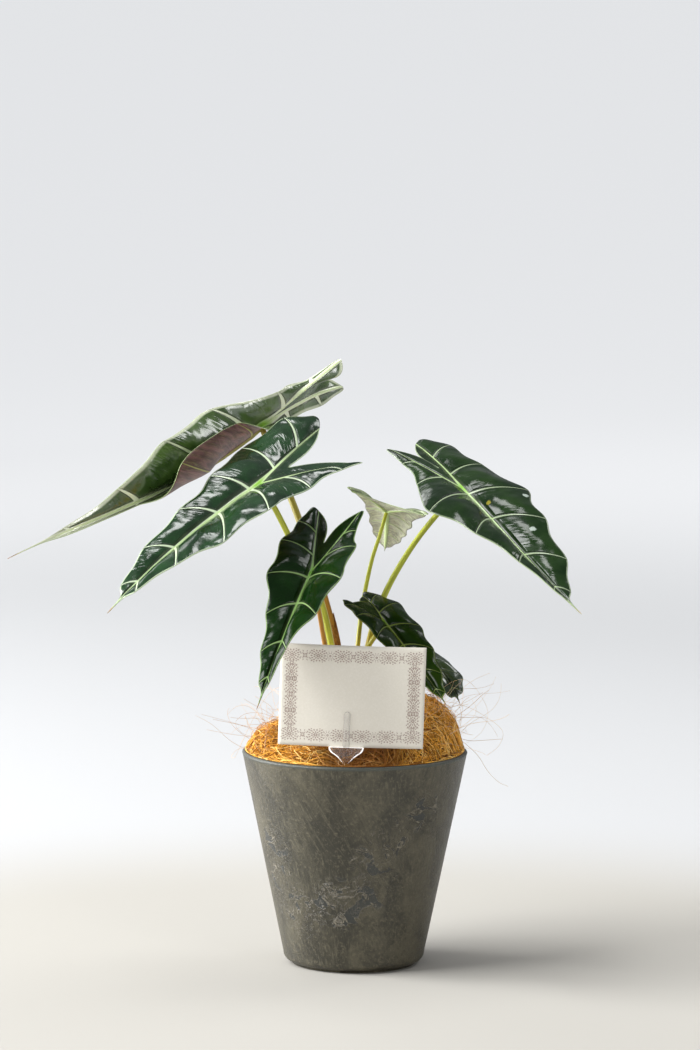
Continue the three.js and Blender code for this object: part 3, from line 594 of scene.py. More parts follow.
# A phase counts along the ribs: 0 at the tip, a whole number at each side vein, 7 at the tip of a lobe.
JUNCTION_PHASE = 4.3
LOBE_PHASE = 7
RIB_PHASES, RIB_SHARES = (0, 1, 2, 3, 4, 4.3), (1, 0.78, 0.53, 0.25, 0.05, 0)
VEIN_PHASES = (0, 0.5, 1, 2, 3, 4, 5, 6, 6.6, 6.88, 7)
ANGLE_PHASES, VEIN_ANGLES = (0, 1, 2, 3, 4, 5, 6, 7), (20, 38, 47, 52, 67, 98, 118, 140)
CAMBER = (0.06, 0.06)
SINUS_SHARE = 0.42
SINUS_BULGE = 0.045
VEIN_ARCH = 0.3
MARGIN_SCALLOP = 0.1
QUILT = 0.05
RIB_DEPTH = 1.8
BLADE = 0.7
NO_VEIN = 20.0
INNER_COLUMNS = 12


def smooth(x, xs, ys):
    """A smooth curve through the anchors that never overshoots them: cubic pieces whose slope at an
    anchor is the harmonic mean of its two neighbours' slopes, or 0 at a peak."""
    x, xs, ys = np.asarray(x, float), np.asarray(xs, float), np.asarray(ys, float)
    slopes = np.diff(ys) / np.diff(xs)
    a, b = slopes[:-1], slopes[1:]
    level = a * b <= 0
    inner = np.where(level, 0, 2 * a * b / np.where(level, 1, a + b))
    tangents = np.concatenate([slopes[:1], inner, slopes[-1:]])
    i = np.clip(np.searchsorted(xs, x, side="right") - 1, 0, len(xs) - 2)
    h = xs[i + 1] - xs[i]
    t = (x - xs[i]) / h
    return (ys[i] * (1 + 2 * t) * (1 - t) ** 2 + tangents[i] * h * t * (1 - t) ** 2
            + ys[i + 1] * t * t * (3 - 2 * t) + tangents[i + 1] * h * t * t * (t - 1))


def lobe_points(lobe, side, share):
    """The rib of a back lobe: straight back at its angle, rising evenly."""
    length, angle, rise = lobe[0], math.radians(lobe[1]), math.radians(lobe[2])
    reach = share * length
    return np.stack([-reach * math.cos(angle) * np.cos(rise * np.sqrt(share)), side * reach * math.sin(angle),
                     reach * math.sin(rise) * (0.35 + 0.65 * share)], -1)


def main_rib(leaf, share):
    """Slope and heading of the main rib at shares of its length: both change evenly, the slope with a
    part that grows to the tip."""
    even, growing = leaf["droop"]
    slope = -math.radians(even) * share - math.radians(growing) * share ** 2
    heading = math.radians(leaf["bend"]) * share
    return slope, heading


def direction(slope, heading):
    return np.stack([np.cos(slope) * np.cos(heading), np.cos(slope) * np.sin(heading), np.sin(slope)], -1)


def rib_frame(leaf, side, phase):
    """Place and directions (forward, left, up) along the ribs, and the shares of the main rib and of the
    lobe's rib gone through: the main rib's forward direction summed in small steps, and a lobe's rib that
    starts level with it."""
    steps = 240
    along = direction(*main_rib(leaf, (np.arange(steps) + 0.5) / steps))
    chain = np.concatenate([np.zeros((1, 3)), np.cumsum(along, 0)]) * leaf["length"] / steps
    lobe = leaf["lobes"][0 if side > 0 else 1]
    on_lobe = phase > JUNCTION_PHASE
    share = np.where(on_lobe, 0, smooth(np.minimum(phase, JUNCTION_PHASE), RIB_PHASES, RIB_SHARES))
    back = np.clip((phase - JUNCTION_PHASE) / (LOBE_PHASE - JUNCTION_PHASE), 0, 1)
    on_rib = np.stack([np.interp(share * steps, np.arange(steps + 1), chain[:, k]) for k in range(3)], -1)
    at = np.where(on_lobe[:, None], lobe_points(lobe, side, back), on_rib)
    slope, heading = main_rib(leaf, share)
    t = np.minimum(1.5 * back, 1)
    slope = np.where(on_lobe, -math.radians(lobe[2]) * t * t * (3 - 2 * t), slope)
    forward = direction(slope, heading)
    left = np.stack([-np.sin(heading), np.cos(heading), 0 * heading], -1)
    return at, forward, left, np.cross(forward, left), share, back


def vein_length(leaf, side, phase):
    """From the rib to the margin: a smooth curve through the side veins' lengths, drawn in between them."""
    v = leaf["veins"][0 if side > 0 else 1]
    anchors = (0, 0.22 * v[0], *v, 0.72 * v[5], 0.42 * v[5], 0)
    return smooth(phase, VEIN_PHASES, anchors) * (1 - MARGIN_SCALLOP * np.sin(math.pi * phase) ** 2)


def outer_half(leaf, side, phase, t):
    """The half blade between a rib (t = 0) and the margin (t = 1): each side vein leaves the rib at its
    angle, arches towards the base, lifts from the rib's plane and carries a quilted bulge."""
    at, forward, left, up, _, _ = rib_frame(leaf, side, phase)
    half = 0 if side > 0 else 1
    lifts = leaf["lifts"][half]
    lift = np.radians(smooth(phase, ANGLE_PHASES, (lifts[0], *lifts, lifts[5])))[:, None]
    angle = np.radians(smooth(phase, ANGLE_PHASES, VEIN_ANGLES))[:, None]
    length = vein_length(leaf, side, phase)[:, None]
    out = left * side
    across = out * np.cos(lift) + up * np.sin(lift)
    normal = up * np.cos(lift) - out * np.sin(lift)
    camber = 4 * leaf.get("camber", CAMBER)[half] * t * (1 - t)
    hump = np.sin(math.pi * phase)[:, None] ** 2
    quilt = QUILT * hump * np.sin(math.pi * t) + 0.012 * np.sqrt(hump) * np.sin(math.pi * t) ** 0.5
    return (at[:, None] + forward[:, None] * (length * t * (np.cos(angle) - VEIN_ARCH * (1 - t)))[..., None]
            + across[:, None] * (length * t * np.sin(angle))[..., None]
            + normal[:, None] * (length * (camber + quilt))[..., None])


def inner_half(leaf, side, share, t):
    """The strip between a lobe's rib (t = 0) and the notch between the lobes (t = 1)."""
    lobe = leaf["lobes"][0 if side > 0 else 1]
    rise = math.radians((leaf["lobes"][0][2] + leaf["lobes"][1][2]) / 2)
    depth = leaf["sinus"] * leaf["length"]
    notch = np.array([-depth * math.cos(rise), 0, 0.6 * depth * math.sin(rise)])
    s = np.clip((share - SINUS_SHARE) / (1 - SINUS_SHARE), 0, 1)[:, None]
    edge = notch * (1 - s) + lobe_points(lobe, side, np.ones(1))[0] * s
    edge[:, 1] -= (side * SINUS_BULGE * leaf["length"] * 4 * s ** 1.3 * (1 - s))[:, 0]
    edge = np.where((share <= SINUS_SHARE)[:, None], notch * (share / SINUS_SHARE)[:, None], edge)
    rib = lobe_points(lobe, side, share)
    return rib[:, None] * (1 - t)[..., None] + edge[:, None] * t[..., None]


def blade_rows(per_phase):
    """Rows from the tip (0) to a lobe's tip (7), closest together at each side vein."""
    u = np.arange(LOBE_PHASE * per_phase + 1) / per_phase
    rows = u - 0.125 * np.sin(2 * math.pi * u)
    rows[np.abs(rows - JUNCTION_PHASE).argmin()] = JUNCTION_PHASE
    return rows


def rib_half_width(size, share, back):
    """Half the width of a rib that thins towards its tip, and more so on a lobe."""
    slim = (1 - 0.7 * back) * (1 - 0.4 * np.minimum(1, 6 * back))
    return size * (2.7 * (1 - share) ** 0.8 * slim + 0.5)[:, None]


def blade_mesh(name, leaf, per_phase, columns):
    """Four patches, two outer and two inner, welded along the ribs and given their thickness.

    Every point also gets its distances, as multiples of the line's own half width: vein (to the nearest
    side vein), rib (to the nearest rib) and edge (to the margin, in mm)."""
    rows = blade_rows(per_phase)
    lobe_rows = rows[rows >= JUNCTION_PHASE]
    share = (lobe_rows - JUNCTION_PHASE) / (LOBE_PHASE - JUNCTION_PHASE)
    size = math.sqrt(leaf["length"] / 165)
    patches = []
    for side in (1, -1):
        t = (np.linspace(0, 1, columns) ** 1.25)[None] * np.ones((len(rows), 1))
        patch = outer_half(leaf, side, rows, t)
        main_share, back = rib_frame(leaf, side, rows)[4:]
        pace = np.linalg.norm(np.gradient(patch, axis=0), axis=-1) / np.gradient(rows)[:, None]
        vein = np.abs(rows - np.round(rows))[:, None] * pace / (size * (2.3 - 1.6 * t ** 0.8))
        vein[(rows < 0.5) | (rows > 6.5)] = NO_VEIN
        length = vein_length(leaf, side, rows)[:, None]
        away = t * length * np.abs(np.sin(np.radians(smooth(rows, ANGLE_PHASES, VEIN_ANGLES))))[:, None]
        depth = np.minimum(RIB_DEPTH * size * (1 - main_share) * (1 - back), 0.35 * length[:, 0])
        patches.append((patch, rows, side * t, vein, away, rib_half_width(size, main_share, back),
                        (1 - t) * length, depth, side > 0))
        t = np.linspace(0, 1, INNER_COLUMNS)[None] * np.ones((len(share), 1))
        patch = inner_half(leaf, side, share, t)
        gap = np.linalg.norm(patch[:, -1] - patch[:, 0], axis=-1)[:, None]
        edge = (1 - t) * gap + np.where(share > SINUS_SHARE, 0, 30)[:, None]
        patches.append((patch, lobe_rows, -side * 0.4 * t, np.full(t.shape, NO_VEIN), t * gap,
                        rib_half_width(size, 0 * share, share), edge,
                        RIB_DEPTH * size * (1 - share), side < 0))
    points, uvs, fields, quads = [], [], [], []
    for patch, phases, across, vein, away, half, edge, depth, ahead in patches:
        q = grid_quads(*across.shape, start=sum(map(len, points)))
        quads.append(q if ahead else q[:, ::-1])
        points.append(patch.reshape(-1, 3))
        uvs.append(np.stack([phases[:, None] + 0 * across, across], -1).reshape(-1, 2))
        below = depth[:, None] * np.exp(-(away / (1.5 * size)) ** 2)
        fields.append(np.stack([vein, away / half, edge, below]).reshape(4, -1))
    points, uvs, quads = np.concatenate(points), np.concatenate(uvs), np.concatenate(quads)
    places = np.round(points * 200).astype(np.int64)
    _, first, welded = np.unique(places, axis=0, return_index=True, return_inverse=True)
    fields = np.concatenate(fields, 1)[:, first]
    return thicken(name, leaf, points[first], welded.ravel()[quads], uvs[quads], *fields)


def split_faces(quads, uvs):
    """Whole quads, and triangles where a quad has a corner twice; faces without area are dropped."""
    same = np.stack([quads[:, k] == quads[:, (k + 1) % 4] for k in range(4)], 1)
    folded = (quads[:, 0] == quads[:, 2]) | (quads[:, 1] == quads[:, 3])
    whole = ~same.any(1) & ~folded
    tris, tri_uvs = [], []
    for k in range(4):
        pick = same[:, k] & (same.sum(1) == 1) & ~folded
        order = [(k + 1) % 4, (k + 2) % 4, (k + 3) % 4]
        tris.append(quads[pick][:, order])
        tri_uvs.append(uvs[pick][:, order])
    return quads[whole], uvs[whole], np.concatenate(tris), np.concatenate(tri_uvs)


def thicken(name, leaf, points, quads, uvs, vein, rib, edge, depth):
    """Top and underside half the blade's thickness either way along the normals, the underside lower
    under the ribs, and a rim between them along every free edge."""
    quads, quad_uvs, tris, tri_uvs = split_faces(quads, uvs)
    normals = np.zeros_like(points)
    edges = []
    for faces, a, b, c, d in ((quads, 0, 2, 1, 3), (tris, 0, 1, 0, 2)):
        n = np.cross(points[faces[:, b]] - points[faces[:, a]], points[faces[:, d]] - points[faces[:, c]])
        sides = faces.shape[1]
        for k in range(sides):
            np.add.at(normals, faces[:, k], n)
            edges.append(np.stack([faces[:, k], faces[:, (k + 1) % sides]], 1))
    normals /= np.maximum(np.linalg.norm(normals, axis=1, keepdims=True), 1e-9)
    thin = 0.5 * BLADE * (0.55 + 0.45 * np.clip(edge / 3, 0, 1))[:, None]
    raised = 0.28 * np.exp(-vein ** 2) + 0.45 * np.exp(-(0.9 * rib) ** 2)
    raised = (raised * np.clip(edge / 4, 0, 1))[:, None]
    top = points + normals * (thin + 0.5 * raised)
    low = points - normals * (thin + 0.7 * raised + depth[:, None])
    heading, slope, roll = (math.radians(a) for a in leaf["turn"])
    turn = Matrix.Rotation(heading, 3, "Z") @ Matrix.Rotation(-slope, 3, "Y") @ Matrix.Rotation(roll, 3, "X")
    both = np.concatenate([top, low]) @ np.array(turn).T + np.array(leaf["junction"], float)
    count = len(points)
    edges = np.concatenate(edges).astype(np.int64)
    free = edges[~np.isin(edges[:, 1] * count + edges[:, 0], edges[:, 0] * count + edges[:, 1])]
    rim = np.stack([free[:, 1], free[:, 0], free[:, 0] + count, free[:, 1] + count], 1)
    corner_uv = np.concatenate([uv.reshape(-1, 2) for uv in (
        quad_uvs, quad_uvs[:, ::-1], np.zeros((len(rim), 4, 2)), tri_uvs, tri_uvs[:, ::-1])])
    slots = np.repeat([0, 1, 2, 0, 1], [len(quads), len(quads), len(rim), len(tris), len(tris)])
    return add_piece(name, both, np.concatenate([quads, quads[:, ::-1] + count, rim]),
                     np.concatenate([tris, tris[:, ::-1] + count]), {"blade": corner_uv},
                     {key: np.tile(value, 2)
                      for key, value in (("vein", vein), ("rib", rib), ("edge", edge))},
                     slots)


def toned(colour, share):
    return tuple(np.multiply(colour, share))


def upper_face(name, dark, mid, vein_tone, rib_tone, width, gloss, band, marks_and_glints):
    """The glossy upper face: near-black green, paler along the veins, with fine ripples that run out
    from the ribs beside the side veins and break up its reflections."""
    face = Finish(name)
    blade = face.layout("blade")
    vein, rib, edge = (face.value(key) for key in ("vein", "rib", "edge"))
    phase = face.part("X", blade)
    near = face.math("MINIMUM", face.times(vein, 1.15), rib)
    line = face.fade(near, width, 0.66 * width)
    face.body = face.between(dark, mid, face.noise(38, 3, 0.55), 0.35, 0.7)
    face.paint(mid, face.noise(1.6, 3, 0.6, 0.6, (9, 2.2, 1), blade), 0.56, 0.72, 0.35)
    face.paint(toned(vein_tone, 0.22), near, 2.6 * width, width, 0.4)
    tone = face.between(vein_tone, rib_tone, rib, 1.1, 0.3)
    shade = face.fade(face.noise(1.0, 3, 0.6, 0.0, (30, 5, 1), blade), 0.5, 0.8, 0.0, 0.35)
    face.paint(face.mix(shade, tone, toned(rib_tone, 0.5)), line)
    joint = face.times(face.fade(face.off(phase, JUNCTION_PHASE), 0.3, 0.05),
                       face.fade(rib, 1.1 * width, 0.5 * width))
    face.paint(toned(rib_tone, (0.6, 0.88, 0.25)), joint)
    face.paint(toned(vein_tone, 0.8), edge, band, 0.5 * band, 0.9)
    # The tip yellows and dries.
    face.paint((0.40, 0.45, 0.12), phase, 0.36, 0.02, 0.8)
    face.paint((0.40, 0.14, 0.025), phase, 0.26, 0.06, 0.95)
    # Each spot is laid on as colour: a real yellowed patch, or a painted highlight of a water drop.
    for place, reach, colour in marks_and_glints:
        spot = face.add(face.nearness(place, reach), face.times(face.noise(420, 2, 0.6, 0.8), 0.9))
        face.paint(colour, spot, 0.80, 1.15, 0.85)
    ripple = face.times(face.noise(1.0, 1, 0.5, 0.8, (13, 1.6, 1), blade),
                        face.fade(face.noise(33, 1), 0.46, 0.6), 0.9 * gloss)
    pucker = face.noise(190, 2, 0.5, 0.4)
    relief = face.add(ripple, face.times(pucker, 0.12), face.times(face.noise(58, 1), 2.2))
    relief = face.add(face.times(relief, face.fade(near, 0.8, 2.0)), face.times(line, 0.6))
    return face.done(Roughness=face.fade(pucker, 0.3, 0.7, 0.13, 0.22), Specular_IOR_Level=gloss,
                     Normal=face.bump(relief, 0.0011))


def under_face(name, dark, mid, vein_tone):
    """The dull underside, with yellow-green veins and fine arcs between them."""
    face = Finish(name)
    blade = face.layout("blade")
    patch = face.noise(1.5, 4, 0.6, 0.8, (7, 2, 1), blade)
    near = face.math("MINIMUM", face.times(face.value("vein"), 1.6), face.value("rib"))
    face.body = face.between(dark, mid, patch, 0.36, 0.66)
    face.paint(vein_tone, face.off(face.noise(1.0, 2, 0.5, 1.4, (34, 1.2, 1), blade), 0.5), 0.03, 0.0, 0.3)
    face.paint(vein_tone, near, 1.0, 0.5, 0.9)
    face.paint(toned(dark, 0.5), face.value("edge"), 0.9, 0.3, 0.7)
    relief = face.add(patch, face.fade(near, 1.2, 0.6))
    return face.done(Roughness=0.5, Normal=face.bump(relief, 0.0006))


# Dark and lighter green, side veins, ribs; then how wide the pale lines are, how glossy the leaf is and
# how wide its pale margin, in mm.
UPPER_TONES = {
    "back_left": ((0.030, 0.064, 0.012), (0.085, 0.145, 0.035), (0.68, 0.73, 0.52), (0.62, 0.72, 0.40),
                  1.35, 1.0, 3.2),
    "front_left": ((0.003, 0.017, 0.004), (0.010, 0.042, 0.010), (0.50, 0.60, 0.40), (0.50, 0.64, 0.32),
                   0.88, 0.8, 1.1),
    "front_middle": ((0.002, 0.012, 0.001), (0.004, 0.020, 0.002), (0.18, 0.27, 0.10), (0.22, 0.36, 0.11),
                     0.76, 0.24, 1.0),
    "right": ((0.003, 0.014, 0.002), (0.011, 0.031, 0.005), (0.31, 0.385, 0.235), (0.36, 0.48, 0.22),
              0.62, 0.36, 1.0),
    "low_right": ((0.004, 0.015, 0.001), (0.011, 0.030, 0.001), (0.11, 0.15, 0.030), (0.17, 0.22, 0.04),
                  0.62, 0.12, 1.0),
    "low_far": ((0.008, 0.022, 0.004), (0.034, 0.062, 0.018), (0.12, 0.16, 0.06), (0.15, 0.20, 0.06),
                0.6, 0.8, 1.0),
    "back_small": ((0.24, 0.29, 0.15), (0.36, 0.43, 0.24), (0.45, 0.55, 0.3), (0.4, 0.55, 0.2),
                   0.9, 0.3, 1.0),
}
# A yellowed patch on the right leaf, and two pale spots on it that are painted highlights of water drops:
# place and reach in metres, colour.
LEAF_MARKS_AND_GLINTS = {"right": (((0.0972, -0.0003, 0.3410), 0.0040, (0.24, 0.21, 0.02)),
                        ((0.1243, 0.0077, 0.3455), 0.0048, (0.40, 0.46, 0.41)),
                        ((0.1285, -0.0304, 0.3255), 0.0048, (0.40, 0.46, 0.41)))}
margin = Finish("leaf_margin").done(Base_Color=(0.30, 0.38, 0.16), Roughness=0.45)
dark_margin = Finish("dark_leaf_margin").done(Base_Color=(0.06, 0.045, 0.02), Roughness=0.45)
purple = under_face("leaf_purple", (0.075, 0.030, 0.028), (0.20, 0.105, 0.105), (0.36, 0.36, 0.09))
red_brown = under_face("leaf_red_brown", (0.050, 0.015, 0.012), (0.17, 0.066, 0.062), (0.34, 0.33, 0.08))
silver = under_face("young_leaf_silver", (0.29, 0.28, 0.22), (0.56, 0.60, 0.41), (0.42, 0.56, 0.2))
for key, leaf in LEAVES.items():
    large = leaf["length"] > 100
    blade = blade_mesh(f"leaf_{key}", leaf, 36 if large else 24, 40 if large else 28)
    for finish in (upper_face(f"{key}_green", *UPPER_TONES[key], LEAF_MARKS_AND_GLINTS.get(key, ())),
                   {"back_small": silver, "back_left": red_brown}.get(key, purple),
                   dark_margin if key in ("front_middle", "low_right", "low_far") else margin):
        blade.data.materials.append(finish)
    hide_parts(f"blade_{key}")

# Leaf stalks
# Fleshy round stalks that thin towards the blade: yellow-green with fine stripes, browner at the foot.
# They stand in plain holes in the fibre and the soil.
STALK_DEPTH = 140
STALK_STEPS = 90
STALK_SIDES = 20
# Green, brown, and the height in metres below which a stalk is brown; then, on some, a seam's place in
# shares of the way round, and how much of the skin at the left of the seam is brown.
STALK_TONES = {
    "back_left": ((0.27, 0.23, 0.035), (0.26, 0.115, 0.014), 0.290),
    "front_left": ((0.36, 0.38, 0.035), (0.38, 0.34, 0.03), 0.225, 0.68),
    "front_middle": ((0.36, 0.38, 0.04), (0.42, 0.30, 0.04), 0.235, 0.66, 1.0),
    "right": ((0.31, 0.34, 0.030), (0.40, 0.26, 0.03), 0.245),
}
OTHER_STALKS = ((0.36, 0.38, 0.04), (0.42, 0.30, 0.04), 0.235)


def stalk_route(leaf):
    x, y, _ = leaf["stalk"][0]
    return [(x, y, STALK_DEPTH), (x, y, SOIL_TOP + 20), *leaf["stalk"], leaf["junction"]]


def stalk_finish(name, green, brown, foot, seam=None, husk=0.0):
    """Stripes along the stalk from its own layout, browner below the foot's height, with the seam as a
    pale line."""
    skin = Finish(name)
    layout = skin.layout("stalk")
    stripe = skin.noise(3.0, 3, 0.55, 0.0, (9, 1.2, 1), layout)
    z = skin.part("Z")
    low = skin.add(z, skin.times(skin.math("SUBTRACT", skin.noise(60, 3, 0.6), 0.5), 0.03))
    skin.body = skin.between(green, toned(green, 1.55), stripe, 0.35, 0.7)
    browner = skin.between(brown, toned(brown, 2.2), stripe, 0.3, 0.7)
    skin.paint(browner, low, foot + 0.02, foot - 0.025, 0.85)
    if seam:
        around = skin.part("X", layout)
        lower = skin.fade(z, 0.32, 0.285)
        strip = skin.times(skin.fade(around, seam - 0.03, seam - 0.01, husk, 0.0), lower)
        skin.paint(skin.mix(stripe, (0.28, 0.115, 0.015), (0.55, 0.29, 0.05)), strip)
        skin.paint((0.66, 0.64, 0.34),
                   skin.times(skin.fade(skin.off(around, seam), 0.028, 0.012, 0.0, 0.9), lower))
    return skin.done(Roughness=0.38, Specular_IOR_Level=0.3, Normal=skin.bump(stripe, 0.0003))


for key, leaf in LEAVES.items():
    centre = curve_through(stalk_route(leaf), STALK_STEPS)
    centre[-1] -= 1.6 * unit(centre[-1] - centre[-2])
    foot, top = leaf["girth"]
    girth = foot + (top - foot) * np.linspace(0, 1, STALK_STEPS)
    points, quads, caps = tubes(centre[None], girth[None], STALK_SIDES)
    column, row = np.meshgrid(np.arange(STALK_SIDES), np.arange(STALK_STEPS))
    u = np.stack([column, column + 1, column + 1, column], -1)[:-1].reshape(-1, 4) / STALK_SIDES
    v = np.stack([row, row, row + 1, row + 1], -1)[:-1].reshape(-1, 4) / 30.0
    layout = np.concatenate([np.stack([u, v], -1).reshape(-1, 2), np.zeros((3 * len(caps), 2))])
    stalk = add_piece(f"petiole_{key}", points, quads, caps, {"stalk": layout})
    stalk.data.materials.append(stalk_finish(f"stalk_skin_{key}", *STALK_TONES.get(key, OTHER_STALKS)))
    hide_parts(f"stalk_{key}")

# Dry sheath
# The withered leaf base that wrapped the thickest stalk: papery, red-brown, split down its left side
# and torn off at the top.
SHEATH_FOOT = 160
SHEATH_TIP = 257
SHEATH_WALL = 0.45


def sheet(front, back):
    """Two grids (rows, columns, 3) of the same size, closed by a rim of quads round their edges."""
    rows, columns, _ = front.shape
    count = rows * columns
    face = grid_quads(rows, columns)
    ring = np.concatenate([np.arange(columns), columns - 1 + columns * np.arange(1, rows),
                           count - 2 - np.arange(columns - 1), columns * np.arange(rows - 2, 0, -1)])
    after = np.roll(ring, -1)
    rim = np.stack([after, ring, ring + count, after + count], 1)
    return np.concatenate([front, back]).reshape(-1, 3), np.concatenate([face, face[:, ::-1] + count, rim])


def sheath_mesh(leaf):
    """A strip that wraps the stalk at a small distance: rows up the stalk, columns round it. It opens
    wider towards the top, and its upper edge is ragged."""
    centre = curve_through(stalk_route(leaf), 400)
    a = np.linspace(0, 1, 44)[None]
    torn = SHEATH_TIP - 24 * np.abs(a - 0.62) ** 0.8 + 2.2 * np.sin(37 * a) + 1.4 * np.sin(61 * a + 1)
    height = SHEATH_FOOT + (torn - SHEATH_FOOT) * np.linspace(0, 1, 60)[:, None]
    x, y = (np.interp(height, centre[:, 2], centre[:, k]) for k in (0, 1))
    s = (height - STALK_DEPTH) / (leaf["junction"][2] - STALK_DEPTH)
    foot, top = leaf["girth"]
    flare = np.clip((height - 236) / 20, 0, 1)
    radius = foot + (top - foot) * s + GAP + 0.25 + 1.3 * flare * np.abs(2 * a - 1) ** 3
    radius = radius + 0.12 * np.sin(17 * a * 2 * math.pi)
    opening = 0.32 + 0.5 * np.clip((height - 205) / 55, 0, 1)
    angle = math.pi + opening + a * (2 * math.pi - 2 * opening)
    return sheet(*[np.stack([x + r * np.cos(angle), y + r * np.sin(angle), height], -1)
                   for r in (radius + SHEATH_WALL, radius)])


sheath = add_piece("torn_sheath", *sheath_mesh(LEAVES["back_left"]))
husk = Finish("dry_husk")
strand = husk.noise(900, 3, 0.6, 0.0, (1, 1, 0.05))
husk.body = husk.between((0.13, 0.040, 0.005), (0.38, 0.155, 0.020), strand, 0.35, 0.68)
husk.paint((0.50, 0.25, 0.05), husk.noise(90, 3, 0.6), 0.5, 0.72, 0.6)
sheath.data.materials.append(husk.done(Roughness=0.6, Specular_IOR_Level=0.25,
                                       Normal=husk.bump(strand, 0.0004)))
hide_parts("dry_sheath")

# Message card
# A blank card of uncoated off-white stock, bent a little about an upright line, with a lace-like border
# of rosettes printed in mauve-grey. It stands in the pick.
CARD_WIDTH = 105
CARD_HEIGHT = 74
CARD_SHEET = 0.5
CARD_BEND_RADIUS = 420
CARD_CENTRE = np.array([-2.2, -65, 207.2])
CARD_ROLL = math.radians(1.7)
BORDER_INSET = 8.1
MOTIF = 10
# Rings of a rosette: leaves, and where they start, how long and how wide they are in shares of its size.
ROSETTE_RINGS = ((6, 0.03, 0.15, 0.105), (10, 0.165, 0.18, 0.105), (14, 0.345, 0.18, 0.12))
CORNER_LEAVES = ((0, 0.50, 0.18, 0.12), (0.30, 0.53, 0.12, 0.09), (-0.30, 0.53, 0.12, 0.09))


def card_place(u, v, out):
    """A point of the card: u across and v up from its centre, out towards the viewer, in mm."""
    y = CARD_BEND_RADIUS - np.sqrt(CARD_BEND_RADIUS ** 2 - u * u) - out
    x = u * math.cos(CARD_ROLL) + v * math.sin(CARD_ROLL)
    z = -u * math.sin(CARD_ROLL) + v * math.cos(CARD_ROLL)
    return np.stack([x, y, z], -1) + CARD_CENTRE


v, u = np.meshgrid(np.linspace(-0.5, 0.5, 29) * CARD_HEIGHT, np.linspace(-0.5, 0.5, 41) * CARD_WIDTH,
                   indexing="ij")
card = add_piece("gift_card", *sheet(card_place(u, v, CARD_SHEET / 2), card_place(u, v, -CARD_SHEET / 2)))
stock = Finish("card_stock")
pulp = stock.noise(700, 4, 0.6)
stock.body = stock.between((0.705, 0.667, 0.583), (0.735, 0.697, 0.617), pulp, 0.4, 0.7)
card.data.materials.append(stock.done(Roughness=0.8, Normal=stock.bump(pulp, 0.0001)))
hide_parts("message_card")


def petals(centres, turns, reach, width, start=0.0, sides=6):
    """Pointed ovals: each starts off its centre, along its own turn. centres (n, 2), turns (n,)."""
    s = np.linspace(0, 1, sides)
    outline = np.concatenate([np.stack([s, np.sin(math.pi * s) ** 0.8], 1),
                              np.stack([s[-2:0:-1], -np.sin(math.pi * s[-2:0:-1]) ** 0.8], 1)])
    along = start + outline[:, 0] * reach
    across = outline[:, 1] * width / 2
    c, n = np.cos(turns)[:, None], np.sin(turns)[:, None]
    return np.stack([centres[:, :1] + along * c - across * n, centres[:, 1:] + along * n + across * c], -1)


def rosettes(centres, upright=False):
    """A block of leaves about each centre, longer along the border than across: three rings of pointed
    leaves, each set between those of the ring inside it, and leaves fanned into the corners."""
    rings = [(*ring, (k % 2) * math.pi / ring[0]) for k, ring in enumerate(ROSETTE_RINGS)]
    rings += [(4, *sizes, math.pi / 4 + turn) for turn, *sizes in CORNER_LEAVES]
    stretch = np.array([0.86, 1.12] if upright else [1.12, 0.86])
    shapes = []
    for count, start, reach, width, turn in rings:
        turns = np.arange(count) * 2 * math.pi / count + turn
        block = petals(np.zeros((count, 2)), turns, reach * MOTIF, width * MOTIF, start * MOTIF) * stretch
        shapes.append((centres[:, None, None] + block[None]).reshape(-1, *block.shape[1:]))
    return shapes


def sprigs(centres):
    """Crossed leaves about each centre: four slim ones aslant and a pair of tips beyond each."""
    four = np.tile(math.pi / 4 + np.arange(4) * math.pi / 2, len(centres))
    spread = np.repeat(centres, 4, 0)
    return [petals(spread, four, 2.7, 0.9, 0.4), petals(spread, four + math.pi / 4, 1.3, 0.8, 0.5),
            petals(spread, four + 0.35, 1.7, 0.75, 2.7), petals(spread, four - 0.35, 1.7, 0.75, 2.7)]


def ringlets(centres):
    """Small rings of short leaves about each centre."""
    ten = np.tile(np.arange(10) * math.pi / 5, len(centres))
    spread = np.repeat(centres, 10, 0)
    return [petals(spread, ten, 0.8, 0.75, 1.7), petals(spread, ten, 1.0, 0.55, 2.7),
            petals(spread, ten, 0.8, 0.6, 0.2)]


def border_print():
    """The band: a rosette in each corner, then along each side sprigs, and between the sprigs two
    rosettes with a ringlet between them, or on the short sides a sprig."""
    half_u, half_v = CARD_WIDTH / 2 - BORDER_INSET, CARD_HEIGHT / 2 - BORDER_INSET
    shapes = rosettes(np.array([[a * half_u, b * half_v] for a in (-1, 1) for b in (-1, 1)]))
    # Places along half of a long side and half of a short side, from the middle, in shares of its length.
    long_side = {rosettes: (0.182, 0.574), ringlets: (0.378,), sprigs: (0.0, 0.787)}
    short_side = {rosettes: (0.22, 0.58), sprigs: (0.0, 0.40, 0.80)}
    for places, length, fixed, upright in ((long_side, half_u, half_v, False),
                                           (short_side, half_v, half_u, True)):
        for motif, shares in places.items():
            along = np.array(sorted({sign * share * length for share in shares for sign in (-1, 1)}))
            for sign in (-1, 1):
                place = np.stack([along, np.full_like(along, sign * fixed)], 1)
                place = place[:, ::-1] if upright else place
                shapes += rosettes(place, upright) if motif is rosettes else motif(place)
    outlines = np.concatenate(shapes)
    n, sides, _ = outlines.shape
    points = card_place(outlines[..., 0], outlines[..., 1], CARD_SHEET / 2 + 0.03).reshape(-1, 3)
    half = sides // 2
    k = np.arange(half - 1)
    strip = np.stack([k + 1, (sides - k) % sides, (sides - k - 1) % sides, k + 2], 1)[:-1]
    tips = np.array([[0, sides - 1, 1], [half, half - 1, half + 1]])
    first = (np.arange(n) * sides)[:, None, None]
    return points, (strip + first).reshape(-1, 4), (tips + first).reshape(-1, 3)


